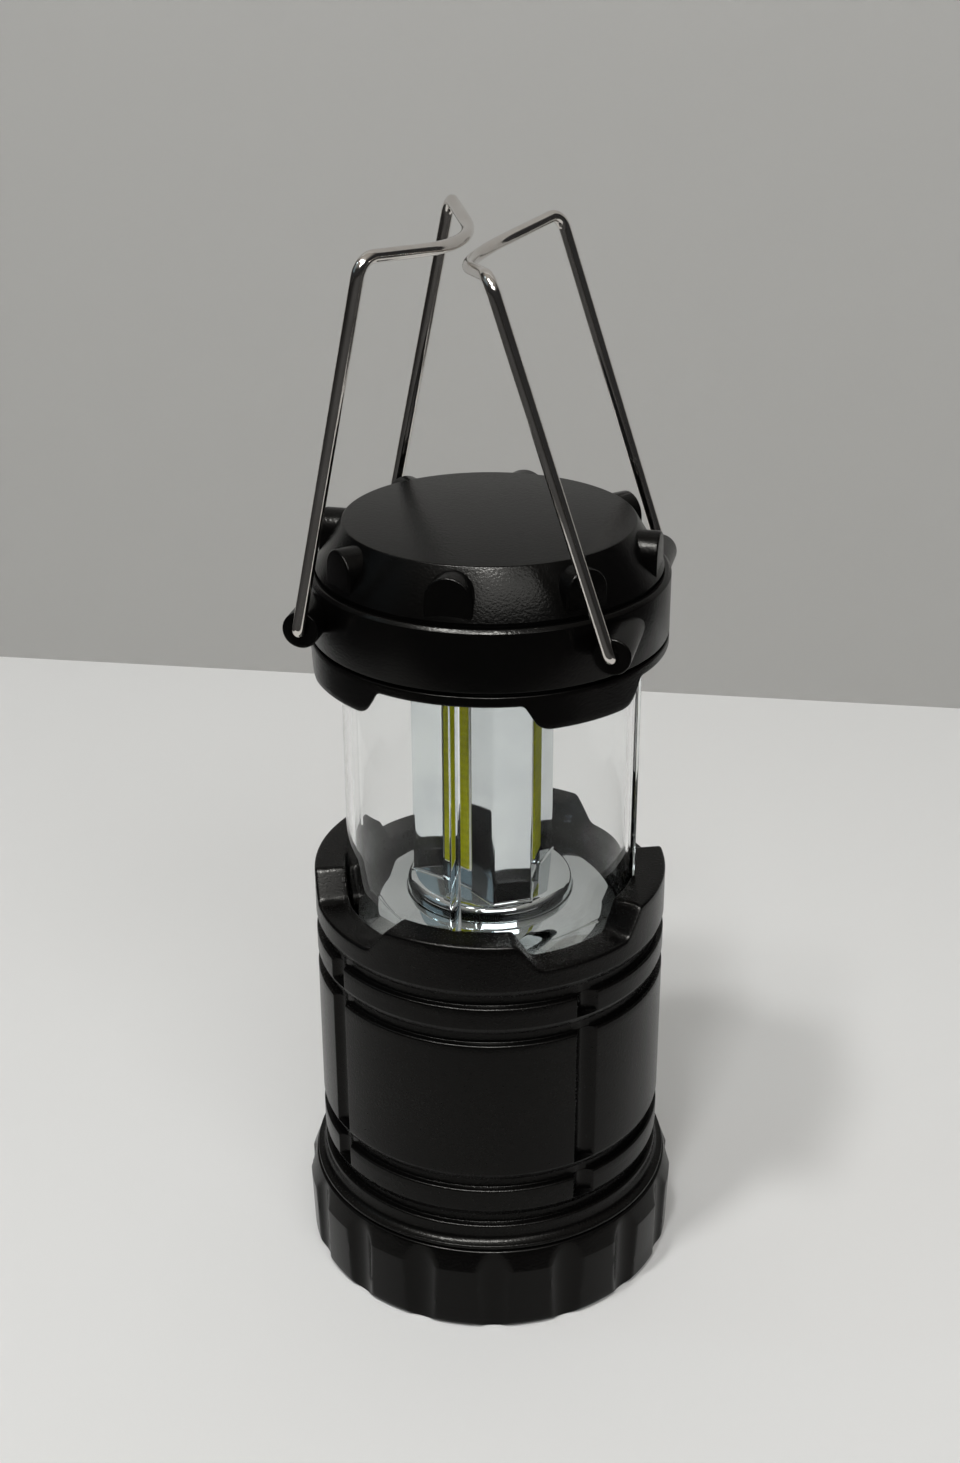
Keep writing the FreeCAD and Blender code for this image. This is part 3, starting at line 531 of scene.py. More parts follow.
def soft_least(first, second, blend):
    """The smaller of two values, with a rounded change over: half of a + b - root((a - b)^2 + blend^2)."""
    return 0.5 * (first + second - np.sqrt((first - second) ** 2 + blend**2))


print("cutter formulas ready")

# %% [markdown]
# ### The cup
# The outline goes up the outside, over the edge and down the bore. Sixteen grips could be joined to a plain
# ring, but the joints would show. So where a cutter reaches deeper than the wall, the wall follows it, with a
# soft change over where the two meet, as a mould has.

# %% Battery cover
COVER_TOP = extent("battery_cover")[1][2]
COVER_RADIUS, COVER_BASE, COVER_BROW, COVER_BREAK = 44.0, 43.5, 42.3, 16.3
COVER_BORE, COVER_FLOOR, WALL_LEAST = 40.4, 2.4, 40.6
SCALLOPS, SCALLOP_PHASE = 16, 14.0
SCALLOP_RADIUS, SCALLOP_DEPTH, SCALLOP_BLEND = 6.7, 1.5, 0.12
COVER_STEP, COVER_TURN = 1.2, 0.75

cover_corners = [
    (0, 0),
    (COVER_BASE, 0),
    (COVER_RADIUS, COVER_BREAK),
    (COVER_BROW, COVER_TOP),
    (COVER_BORE, COVER_TOP),
    (COVER_BORE, COVER_FLOOR),
    (0, COVER_FLOOR),
]
cover_edges = [0, 1.6, 0.5, 0.5, 0.3, 1.0, 0]
cover_outline = refined(rounded(cover_corners, cover_edges, 9), COVER_STEP)
cover_angles = angles_round(COVER_TURN)[:, None]
from_grip = offset_from(cover_angles, SCALLOP_PHASE, SCALLOPS)
scallop = cutter_face(from_grip, COVER_RADIUS - SCALLOP_DEPTH + SCALLOP_RADIUS, SCALLOP_RADIUS, -1)
on_wall = cover_outline[:, 0] > WALL_LEAST
gripped = np.minimum(cover_outline[:, 0], soft_least(COVER_RADIUS, scallop, SCALLOP_BLEND))
cover_radius = np.where(on_wall, np.maximum(gripped, WALL_LEAST), cover_outline[:, 0])
add_piece(
    "scalloped_foot",
    [woven(turned(cover_radius, cover_outline[:, 1], cover_angles))],
    "battery_cover",
    foot_black,
    "battery_cover",
)

# %% [markdown]
# ## The grooved body
# The housing is one moulding: a collar and notched rim above, four ring grooves with sloping lips, and
# four upright flutes that end in each groove like small arches. Cutting solids would leave ragged edges,
# so the grooves are in the turned outline, and flutes and notches move the grid's own points.

# %% Outline of the housing
BODY_RADIUS = 40.0
RIM_TOP = extent("body_shell")[1][2]
LEDGES = (84.2, 74.8, 36.2, 26.4)
GROOVE_DEPTH, GROOVE_HEIGHT = 1.6, 2.7
LIP_DEPTH, LIP_HEIGHT = 0.7, 1.7
SHELL_FOOT, SHELL_FLOOR, SHELL_BORE = 22.0, 24.5, 36.4
NECK_RADIUS, NECK_BORE, NECK_FOOT = 38.9, 37.2, 3.2
FLANGE_RADIUS, FLANGE_FOOT, FLANGE_TOP = 42.0, 21.4, 22.3
COLLAR_BORE, COLLAR_FOOT = 32.9, 86.0
OUTSIDE, WALL_STEP, INSIDE_STEP = 37.3, 1.6, 40.0


def groove_corners(ledge):
    """Outline of one ring groove from below: ledge, floor, overhang and sloping lip, with edge radii."""
    floor, lip = BODY_RADIUS - GROOVE_DEPTH, BODY_RADIUS - LIP_DEPTH
    top = ledge + GROOVE_HEIGHT
    step = [(BODY_RADIUS, ledge), (floor, ledge), (floor, top)]
    return step + [(lip, top), (BODY_RADIUS, top + LIP_HEIGHT)], [0.45, 0.2, 0.2, 0.3, 0.8]


def body_outline():
    """Closed outline of the housing: floor, neck, flange, wall with its grooves, rim, collar and bore."""
    corners = [
        (0, SHELL_FOOT),
        (NECK_BORE, SHELL_FOOT),
        (NECK_BORE, NECK_FOOT),
        (NECK_RADIUS, NECK_FOOT),
        (NECK_RADIUS, FLANGE_FOOT),
        (FLANGE_RADIUS, FLANGE_FOOT),
        (FLANGE_RADIUS, FLANGE_TOP),
        (BODY_RADIUS, FLANGE_TOP),
    ]
    radii = [0, 0.3, 0.3, 0.3, 0.3, 0.2, 0.25, 1.8]
    for ledge in LEDGES[::-1]:
        groove, edges = groove_corners(ledge)
        corners += groove
        radii += edges
    corners += [
        (BODY_RADIUS, RIM_TOP),
        (COLLAR_BORE, RIM_TOP),
        (COLLAR_BORE, COLLAR_FOOT),
        (SHELL_BORE, COLLAR_FOOT),
        (SHELL_BORE, SHELL_FLOOR),
        (0, SHELL_FLOOR),
    ]
    radii += [0.7, 0.6, 0.2, 0.2, 0.5, 0]
    return rounded(corners, radii, 4)


outline = body_outline()
shows = (outline[:, 0] > OUTSIDE) & (outline[:, 1] > FLANGE_FOOT)
outline = refined(outline, np.where(shows, WALL_STEP, INSIDE_STEP))
print("housing outline of", len(outline), "points")

# %% [markdown]
# ### Flutes and notches
# A flute is a round channel up the wall, from the lip of one groove into the next, and a notch is a dip in
# the rim that a tab of the cap drops into. A notch that is cut has sharp edges, which need a bevel. So both
# move points of the turned wall: a flute draws them in, and in a notch the rim's own rows sink, rounded edge
# and all.

# %% Flutes and notches
SIDES = 4
FLUTE_SIDE = 45
FLUTE_RADIUS, FLUTE_DEPTH, FLUTE_BLEND = 2.8, 1.8, 0.25
NOTCH_FLOOR, NOTCH_FOOT, NOTCH_MOUTH = 93.1, 11.6, 16.2
NOTCH_ROOT, NOTCH_RIGID = 88.5, 98.4
NOTCH_EDGES = [0, 3.0, 1.5, 0]


def flute_bands():
    """Foot and top of the flute in each of the three bands: from the lip below up into the groove above."""
    lip_top = GROOVE_HEIGHT + LIP_HEIGHT
    return [(lower + lip_top, ledge + GROOVE_HEIGHT) for ledge, lower in zip(LEDGES, LEDGES[1:])]


def cut_flutes(radius, height, angle):
    """Wall points inside a band come in to the near face of the flute's upright cutter."""
    offset = offset_from(angle, FLUTE_SIDE, SIDES)
    face = cutter_face(offset, BODY_RADIUS - FLUTE_DEPTH + FLUTE_RADIUS, FLUTE_RADIUS, -1)
    for foot, top in flute_bands():
        inside = (height > foot - 1e-6) & (height < top + 1e-6) & (radius > OUTSIDE)
        radius = np.where(inside, soft_least(radius, face, FLUTE_BLEND), radius)
    return radius


def edge_height(across, corners, radii):
    """Height of an edge at a distance across it, read off a run of lines with rounded corners."""
    line = rounded(corners, radii, 9)
    return np.interp(np.abs(across), line[:, 0], line[:, 1])


def sink_notches(height, angle):
    """Points near the rim go down with its edge, in full at the top and by less towards the root. The
    notches have radial sides, so the distance across is taken at the body's own radius."""
    across = BODY_RADIUS * np.sin(offset_from(angle, FLUTE_SIDE, SIDES))
    corners = [(0, NOTCH_FLOOR), (NOTCH_FOOT, NOTCH_FLOOR), (NOTCH_MOUTH, RIM_TOP), (BODY_RADIUS, RIM_TOP)]
    edge = edge_height(across, corners, NOTCH_EDGES)
    share = ((height - NOTCH_ROOT) / (NOTCH_RIGID - NOTCH_ROOT)).clip(0, 1)
    return height - (RIM_TOP - edge) * share


print("flutes in", len(flute_bands()), "bands, notches", RIM_TOP - NOTCH_FLOOR, "mm deep")

# %% [markdown]
# ### The housing
# The outline is turned in steps that are fine only where something happens: at the flutes, at the slopes of
# the notches, and at the slots inside the collar that guide the tube's ribs. An even grid as fine as that
# would have twice as many faces.

# %% Housing
BODY_TURN = 1.8
QUARTERS = np.array([45.0, 135.0, 225.0, 315.0])
FRONTS = QUARTERS - 45
NOTCH_SLOPE = 20.4
COLLAR_LIMIT = 33.7
GUIDE_CENTRE, GUIDE_RADIUS = 32.3, 1.5

slopes = np.concatenate([QUARTERS - NOTCH_SLOPE, QUARTERS + NOTCH_SLOPE])
at_flutes = angles_round(BODY_TURN, QUARTERS, half_width=4.5, dense_step=0.3)
at_guides = angles_round(BODY_TURN, FRONTS, half_width=3.0, dense_step=0.3)
at_slopes = angles_round(BODY_TURN, slopes, half_width=6.5, dense_step=0.5)
body_angles = np.unique(np.concatenate([at_flutes, at_guides, at_slopes]))[:, None]
plain_radius = np.broadcast_to(outline[:, 0], (len(body_angles), len(outline)))
body_radius = cut_flutes(plain_radius, outline[:, 1], body_angles)
guide = cutter_face(offset_from(body_angles, 0, SIDES), GUIDE_CENTRE, GUIDE_RADIUS, 1)
in_collar = (outline[:, 0] < COLLAR_LIMIT) & (outline[:, 1] > COLLAR_FOOT - 0.1)
body_radius = np.where(in_collar, np.maximum(body_radius, guide), body_radius)
body_height = sink_notches(outline[:, 1], body_angles)
add_piece(
    "grooved_housing",
    [woven(turned(body_radius, body_height, body_angles))],
    "base_housing",
    shell_black,
    "body_shell",
)

# %% [markdown]
# ## The cap
# Three mouldings: a skirt with four tabs that drop into the rim's notches, a band that carries the
# handles' lugs, and a coned top with eight arched knobs. One outline could give all three, but they are
# parts of their own with fine seams between them. So each is turned by itself, then shaped as the body was.

# %% Cap skirt
CAP_RADIUS = 38.7
SKIRT_TOP, SKIRT_BOTTOM, TAB_BOTTOM = 156.4, 154.1, 148.5
SKIRT_BORE, SKIRT_WALL, SKIRT_STEP, SKIRT_WEB = 35.9, 35.8, 37.6, 155.0
BAND_FOOT, CAP_BORE = 157.2, 32.55
WINDOW_MOUTH, WINDOW_HEAD = 18.3, 15.2
WINDOW_EDGES = [0, 1.5, 3.8, 0]
TOP_RIGID, TAB_RIGID = 0.5, 0.6
SKIRT_GRID, SKIRT_TURN = 0.9, 0.9


def lift_windows(radius, height, angle):
    """Between the tabs the skirt's lower edge goes up with the window's edge, by less towards the top."""
    across = radius * np.sin(offset_from(angle, 0, SIDES))
    head = [(0, SKIRT_BOTTOM), (WINDOW_HEAD, SKIRT_BOTTOM)]
    corners = head + [(WINDOW_MOUTH, TAB_BOTTOM), (CAP_RADIUS, TAB_BOTTOM)]
    edge = edge_height(across, corners, WINDOW_EDGES)
    reach = ((SKIRT_TOP - TOP_RIGID - height) / (SKIRT_TOP - TOP_RIGID - TAB_BOTTOM - TAB_RIGID)).clip(0, 1)
    return height + (edge - TAB_BOTTOM) * reach


skirt_corners = [
    (SKIRT_BORE, TAB_BOTTOM),
    (CAP_RADIUS, TAB_BOTTOM),
    (CAP_RADIUS, SKIRT_TOP),
    (SKIRT_STEP, SKIRT_TOP),
    (SKIRT_STEP, BAND_FOOT),
    (CAP_BORE, BAND_FOOT),
    (CAP_BORE, SKIRT_WEB),
    (SKIRT_BORE, SKIRT_WEB),
]
skirt_edges = [0.3, 0.5, 0.25, 0.1, 0.1, 0.1, 0.1, 0.1]
skirt_outline = refined(rounded(skirt_corners, skirt_edges, 4), SKIRT_GRID)
skirt_angles = angles_round(SKIRT_TURN, FRONTS, half_width=31.0, dense_step=0.4)[:, None]
skirt_height = lift_windows(skirt_outline[:, 0], skirt_outline[:, 1], skirt_angles)
skirt_height = np.where(skirt_outline[:, 0] > SKIRT_WALL, skirt_height, skirt_outline[:, 1])
add_piece(
    "tabbed_skirt",
    [woven(turned(skirt_outline[:, 0], skirt_height, skirt_angles))],
    "lamp_head",
    cap_black,
    "cap_skirt",
)

# %% [markdown]
# ### The band and its lugs
# The middle moulding is a plain ring with a floor, and it carries four round lugs with blind holes for the
# handles' pins. A lug could be a cylinder with a hole cut in it; here its outline, hole and all, is turned
# about a level axis, so its edges are round without a cut.

# %% Cap band with pivot lugs
BAND_FLOOR, BAND_WELL, BAND_EDGE, BAND_TOP = 158.2, 160.2, 169.9, 170.6
BAND_BROW, SEAT_RADIUS, SEAT_HEIGHT, WELL_RADIUS = 38.0, 37.05, 169.2, 35.2
PIVOT_OFFSET, PIVOT_HEIGHT = 32.0, 165.0
LUG_RADIUS, LUG_FACE, LUG_ROOT = 3.9, 32.3, 15.0
HOLE_RADIUS, HOLE_DEPTH = 1.36, 8.0
LUG_STEPS = 64
LUG_EDGES = [0, 0, 0.45, 0.2, 0, 0]


def pivot_lug(side_x, side_y):
    """Round lug turned about a level axis: radius p at depth q gives x = p cos(a), z = p sin(a), y = q."""
    inner = LUG_FACE - HOLE_DEPTH
    outside = [(0, LUG_ROOT), (LUG_RADIUS, LUG_ROOT), (LUG_RADIUS, LUG_FACE)]
    hole = [(HOLE_RADIUS, LUG_FACE), (HOLE_RADIUS, inner), (0, inner)]
    across, depth = rounded(outside + hole, LUG_EDGES, 5).T
    angle = np.linspace(0, 2 * math.pi, LUG_STEPS, endpoint=False)[:, None]
    x = side_x * PIVOT_OFFSET + across * np.cos(angle)
    z = PIVOT_HEIGHT + across * np.sin(angle)
    return woven(np.stack(np.broadcast_arrays(x, side_y * depth, z), axis=-1))


band_corners = [
    (0, BAND_FLOOR),
    (CAP_BORE, BAND_FLOOR),
    (CAP_BORE, BAND_FOOT),
    (CAP_RADIUS, BAND_FOOT),
    (CAP_RADIUS, BAND_EDGE),
    (BAND_BROW, BAND_TOP),
    (SEAT_RADIUS, BAND_TOP),
    (SEAT_RADIUS, SEAT_HEIGHT),
    (WELL_RADIUS, SEAT_HEIGHT),
    (WELL_RADIUS, BAND_WELL),
    (0, BAND_WELL),
]
band_edges = [0, 0.1, 0.1, 0.3, 0.3, 0.3, 0.15, 0.1, 0.1, 0.1, 0]
band_outline = rounded(band_corners, band_edges, 4)
band_angles = angles_round(1.0)[:, None]
band_grids = [woven(turned(band_outline[:, 0], band_outline[:, 1], band_angles))]
band_grids += [pivot_lug(side_x, side_y) for side_x in (-1, 1) for side_y in (-1, 1)]
add_piece("lugged_band", band_grids, "lamp_head", cap_black, "cap_band")

# %% [markdown]
# ### The coned top and its knobs
# The top is a thin cone with a flat plate, and eight arched knobs stand out of the cone. A bevelled cylinder
# would do for a knob's round head, but not for its upright sides. So each knob is an arch carried outwards,
# and its last rows draw in along a quarter circle, which rounds the edge of its face.

# %% Cap top with arched knobs
PLATE_RADIUS, PLATE_TOP, PLATE_UNDER, PLATE_HOLLOW = 31.1, 181.2, 179.2, 29.1
CONE_RADIUS, CONE_FOOT, CONE_INSIDE, CONE_ROOT = 37.2, 171.4, 34.95, 170.4
SPIGOT_RADIUS = 36.95
KNOBS = 8
KNOB_RADIUS, KNOB_CENTRE, KNOB_FOOT = 4.95, 175.5, 171.4
KNOB_ROOT, KNOB_FACE, KNOB_EDGE = 30.6, 36.5, 0.5
ARCH_STEPS = 28


def arched_knob(direction):
    """Arch carried outwards: half a circle on two uprights, drawn in at the face by a quarter round."""
    turn = np.linspace(0, math.pi, ARCH_STEPS)
    across = np.concatenate([[1], np.cos(turn), [-1]])
    rise = np.concatenate([[0], np.sin(turn), [0]])
    upright = np.concatenate([[0], np.ones(ARCH_STEPS), [0]])
    quarter = np.linspace(0, math.pi / 2, 6)
    out = np.concatenate([[KNOB_ROOT], KNOB_FACE - KNOB_EDGE * (1 - np.sin(quarter))])[:, None]
    radius = np.concatenate([[KNOB_RADIUS], KNOB_RADIUS - KNOB_EDGE * (1 - np.cos(quarter))])[:, None]
    height = KNOB_FOOT + upright * (KNOB_CENTRE - KNOB_FOOT) + radius * rise
    sideways = radius * across
    angle = math.radians(direction)
    x = out * math.cos(angle) - sideways * math.sin(angle)
    y = out * math.sin(angle) + sideways * math.cos(angle)
    return woven(np.stack(np.broadcast_arrays(x, y, height), axis=-1), wrap_rows=False, capped=True)


top_corners = [
    (0, PLATE_UNDER),
    (PLATE_HOLLOW, PLATE_UNDER),
    (CONE_INSIDE, CONE_ROOT),
    (CONE_INSIDE, SEAT_HEIGHT),
    (SPIGOT_RADIUS, SEAT_HEIGHT),
    (SPIGOT_RADIUS, CONE_FOOT),
    (CONE_RADIUS, CONE_FOOT),
    (PLATE_RADIUS, PLATE_TOP),
    (0, PLATE_TOP),
]
top_edges = [0, 0.3, 0.3, 0.1, 0.1, 0.05, 0.1, 0.45, 0]
top_outline = rounded(top_corners, top_edges, 5)
top_grids = [woven(turned(top_outline[:, 0], top_outline[:, 1], angles_round(1.0)[:, None]))]
top_grids += [arched_knob(-90 + 360 / KNOBS * knob) for knob in range(KNOBS)]
add_piece("knobbed_top", top_grids, "lamp_head", cap_black, "cap_top")

# %% [markdown]
# ## Chrome reflectors
# The dish and the three-sided tower are plastic with a bright vapour coating: nearly a mirror, with the
# slight waviness of thin moulded walls. A perfect mirror would look drawn, so a slow noise bends it a little
# and a fine one hazes it.

# %% Chrome finish
WAVE_SCALE, HAZE_SCALE = 60, 900
CHROME_BRIGHT = (0.70, 0.735, 0.74)
CHROME_SHADE = (0.62, 0.655, 0.665)


def bright_coating(name):
    """Vapour-coated mirror: a slow wave varies its tint and bends reflections, and a fine haze dulls it."""
    finish, place = new_finish(name)
    wave = finish.noise(place, WAVE_SCALE)
    haze = finish.noise(place, HAZE_SCALE)
    colour = finish.ramp(wave, (0.35, CHROME_SHADE), (0.65, CHROME_BRIGHT))
    return finish.end_principled(
        {
            "Base Color": colour,
            "Metallic": 1.0,
            "Roughness": 0.03 + 0.03 * haze,
            "Normal": finish.bump(wave, 0.12, 0.0006),
        }
    )


reflector_chrome = bright_coating("reflector_chrome")
print("chrome finish")

# %% [markdown]
# ### Dish and lid
# A shallow dish closes the tube below and a flat lid above. The dish has a round shoulder, which one large
# radius in its outline gives; a subdivided disc would have to be pushed into shape by hand.

# %% Dish and lid
TUBE_BORE = 30.4
DISH_FOOT, DISH_EDGE, DISH_CROWN, DISH_HOLE = 88.4, 89.9, 93.3, 19.0
DISH_SHOULDER, SHOULDER_HEIGHT = 25.4, 92.6
DISH_TURN = 1.5
DISC_FOOT, TOWER_TOP, LID_TOP = 90.6, 156.4, 158.2

dish_corners = [
    (0, DISH_FOOT),
    (TUBE_BORE, DISH_FOOT),
    (TUBE_BORE, DISH_EDGE),
    (DISH_SHOULDER, SHOULDER_HEIGHT),
    (DISH_HOLE, DISH_CROWN),
    (DISH_HOLE, DISC_FOOT),
    (0, DISC_FOOT),
]
dish_edges = [0, 0.2, 0.3, 14.0, 0.2, 0, 0]
dish_outline = rounded(dish_corners, dish_edges, 8)
lid_corners = [(0, TOWER_TOP), (TUBE_BORE, TOWER_TOP), (TUBE_BORE, LID_TOP), (0, LID_TOP)]
lid_outline = rounded(lid_corners, [0, 0.3, 0.3, 0], 4)
dish_angles = angles_round(DISH_TURN)[:, None]
for name, bright, node in (
    ("bright_dish", dish_outline, "reflector_dish"),
    ("bright_lid", lid_outline, "top_reflector"),
):
    grid = woven(turned(bright[:, 0], bright[:, 1], dish_angles))
    add_piece(name, [grid], "lamp_head", reflector_chrome, node)

# %% [markdown]
# ### The tower
# A three-sided mirror stands on a disc, with blunt edges and a hollow in each face that throws the light
# of its strip sideways. It is one outline carried upwards. A wall that met the disc at a sharp line would
# look cut out, so its foot spreads in a small quarter round, which catches a bright line.

# %% Reflector tower
FACES = 3
TOWER_FACE, TOWER_FACET, TOWER_TURN = 12.1, 16.9, 180.0
HOLLOW_DEPTH, HOLLOW_HALF, HOLLOW_FOOT = 1.4, 12.0, 4.4
SLOT_DEPTH = 0.8
TOWER_EDGES = [0.4, 0.4, 3.0, 0.1, 0.1, 0.1, 0.1, 3.0]
FOOT_FILLET, FLAT_ROW, FOOT_SUNK = 0.6, 1.2, 1.0
DISC_RADIUS, DISC_TOP = 18.8, 97.0


def spun(points, degrees):
    """Flat points turned about the axis: x cos - y sin, x sin + y cos."""
    angle = math.radians(degrees)
    turn = np.array([[math.cos(angle), math.sin(angle)], [-math.sin(angle), math.cos(angle)]])
    return np.asarray(points, float) @ turn


def drawn_up(outline, bottom, top):
    """Outline carried straight up, with both ends closed."""
    levels = np.array([bottom, top])[:, None]
    x, y = outline[:, 0], outline[:, 1]
    return woven(np.stack(np.broadcast_arrays(x, y, levels), axis=-1), wrap_rows=False, capped=True)


def tower_outline():
    """Blunt corner of two points, then the slotted hollow of the next face of six, three times round."""
    blunt = (2 * TOWER_FACE - TOWER_FACET) * math.tan(math.pi / 6)
    mouth = TOWER_FACE - HOLLOW_DEPTH
    seat = mouth - SLOT_DEPTH
    facet = np.array([(TOWER_FACET, -blunt), (TOWER_FACET, blunt)])
    half = np.array([(TOWER_FACE, HOLLOW_HALF), (mouth, HOLLOW_FOOT), (seat, HOLLOW_FOOT)])
    hollow = np.vstack([half * (1, -1), half[::-1]])
    one_side = np.vstack([facet, spun(hollow, 180 / FACES)])
    corners = np.vstack([spun(one_side, TOWER_TURN + face * 360 / FACES) for face in range(FACES)])
    return rounded(corners, np.tile(TOWER_EDGES, FACES), 6)


def tower_wall(outline):
    """Outline carried up from inside the disc, with a quarter round foot: at an angle t the wall stands
    R (1 - sin(t)) farther out and R (1 - cos(t)) above the disc. A row just above keeps the wall flat."""
    turn = np.linspace(0, math.pi / 2, 6)
    spread = np.concatenate([[1], 1 - np.sin(turn), [0, 0]])[:, None] * FOOT_FILLET
    rise = DISC_TOP + FOOT_FILLET * np.append(1 - np.cos(turn), FLAT_ROW)
    levels = np.concatenate([[DISC_FOOT + FOOT_SUNK], rise, [TOWER_TOP]])[:, None]
    growth = 1 + spread / np.linalg.norm(outline, axis=1)
    points = np.broadcast_arrays(outline[:, 0] * growth, outline[:, 1] * growth, levels)
    return woven(np.stack(points, axis=-1), wrap_rows=False, capped=True)


disc_corners = [(0, DISC_FOOT), (DISC_RADIUS, DISC_FOOT), (DISC_RADIUS, DISC_TOP), (0, DISC_TOP)]
disc_outline = rounded(disc_corners, [0, 0.2, 2.2, 0], 10)
tower_grids = [
    woven(turned(disc_outline[:, 0], disc_outline[:, 1], angles_round(2.0)[:, None])),
    tower_wall(tower_outline()),
]
add_piece("bright_tower", tower_grids, "lamp_head", reflector_chrome, "reflector_tower")

# %% [markdown]
# ## Light strips
# On each face of the tower a white board carries a long strip of yellow phosphor gel over a row of tiny
# chips. The chips could be pieces of their own under a clear gel, but the lamp is off and the gel is dense,
# so they show only as a faint wave in its colour.

# %% Gel and board finishes
CHIP_PITCH = 1.9
GEL_SCALE, MASK_SCALE = 300, 220
GEL_DEEP, GEL_PALE = (0.27, 0.29, 0.004), (0.36, 0.37, 0.006)
MASK_GREY, MASK_WHITE = (0.62, 0.63, 0.60), (0.76, 0.76, 0.73)


def phosphor_gel(name):
    """Matt yellow gel: paler and deeper in drifts, with a faint row of chips along the strip."""
    finish, place = new_finish(name)
    height = finish.node("SeparateXYZ", None, {"Vector": place}, "Z")
    rows = finish.node("Math", {"operation": "SINE"}, {0: height * (2 * math.pi / (CHIP_PITCH * MM))})
    drift = finish.noise(place, GEL_SCALE, 3.0)
    colour = finish.ramp(drift + 0.12 * rows, (0.25, GEL_DEEP), (0.75, GEL_PALE))
    return finish.end_principled(
        {
            "Base Color": colour,
            "Roughness": 0.5 + 0.15 * drift,
            "Normal": finish.bump(drift, 0.2, 0.0003),
            "Specular IOR Level": 0.06,
        }
    )


def soft_finish(name, low, high, roughness, scale, strength, share=0.15, height=0.0001):
    """Plain matt finish: colour, gloss and height all follow one noise of the material's own scale."""
    finish, place = new_finish(name)
    drift = finish.noise(place, scale, 3.0)
    return finish.end_principled(
        {
            "Base Color": finish.ramp(drift, (0.3, low), (0.7, high)),
            "Roughness": roughness + share * drift,
            "Normal": finish.bump(drift, strength, height),
        }
    )


strip_gel = phosphor_gel("strip_gel")
board_white = soft_finish("board_white", MASK_GREY, MASK_WHITE, 0.35, MASK_SCALE, 0.1, 0.2, 0.0002)
print("gel and board finishes")

# %% [markdown]
# ### Boards and strips
# Board and strip are short outlines drawn upwards, one pair for each face. A box with a bevel would look cut,
# so the gel's outline has sloping sides and round shoulders, as a poured bead has.

# %% Light boards and strips
BOARD_WIDTH, BOARD_FOOT = 7.9, 101.8
STRIP_WIDTH, STRIP_THICKNESS, STRIP_CROWN = 7.8, 0.4, 0.3
STRIP_FOOT, STRIP_TOP = 102.4, 154.9

board_front = TOWER_FACE - HOLLOW_DEPTH
board_seat = board_front - SLOT_DEPTH
strip_front = board_front + STRIP_THICKNESS
half_board, half_strip = BOARD_WIDTH / 2, STRIP_WIDTH / 2
shoulder = half_strip - STRIP_THICKNESS
board_corners = [
    (board_seat, -half_board),
    (board_front, -half_board),
    (board_front, half_board),
    (board_seat, half_board),
]
strip_corners = [
    (board_front, -half_strip),
    (strip_front, -shoulder),
    (strip_front, shoulder),
    (board_front, half_strip),
]
for face in range(FACES):
    facing = TOWER_TURN + 180 / FACES + face * 360 / FACES
    board = rounded(spun(board_corners, facing), 0.15, 3)
    strip = rounded(spun(strip_corners, facing), [0.05, STRIP_CROWN, STRIP_CROWN, 0.05], 6)
    for name, grid, slot, finish, node in (
        ("white_board", drawn_up(board, BOARD_FOOT, TOWER_TOP), "board_white", board_white, "light_board"),
        ("gel_strip", drawn_up(strip, STRIP_FOOT, STRIP_TOP), "light_phosphor", strip_gel, "light_strip"),
    ):
        add_piece(f"{name}_{face + 1}", [grid], "lamp_head", finish, f"{node}_{face + 1}")

# %% [markdown]
# ## The clear tube
# The lens is a clear tube with four round guide ribs on its outside. A see-through shader on one thin skin
# would be quicker, but it would show no thickness, so both walls are there and light bends between them.

# %% Clear plastic finish
LENS_TINT = (0.985, 0.99, 0.99, 1.0)
LENS_IOR = 1.24
LENS_SCALE = 45


def clear_plastic(name):
    """Clear acrylic: full transmission, with a very faint haze that drifts along the moulding. It bends light
    less than real acrylic, because light caught in the ribs isn't followed to its end and goes black."""
    finish, place = new_finish(name)
    haze = finish.noise(place, LENS_SCALE, 3.0)
    return finish.end_principled(
        {
            "Base Color": LENS_TINT,
            "Transmission Weight": 1.0,
            "IOR": LENS_IOR,
            "Roughness": 0.02 * haze,
        }
    )


clear_lens = clear_plastic("clear_lens")
print("clear plastic finish")

# %% [markdown]
# ### The tube
# A rib could be a rod sunk into the wall, but clear plastic would show the skin between the two. So the
# wall's outline is turned, and its outer points go out to the face of a rib where one stands, by the same
# formula that cut the grips, with its sign turned round. The ribs end inside the cap.

# %% Clear tube
TUBE_RADIUS, TUBE_WALL, TUBE_FOOT, TUBE_TOP = 32.45, 1.9, 85.4, 158.2
RIB_CENTRE, RIB_RADIUS, RIB_TOP = 32.3, 1.15, 154.8
OUTER_SKIN, TUBE_EDGE, TUBE_STEP, TUBE_TURN = 0.35, 0.3, 4.0, 1.0

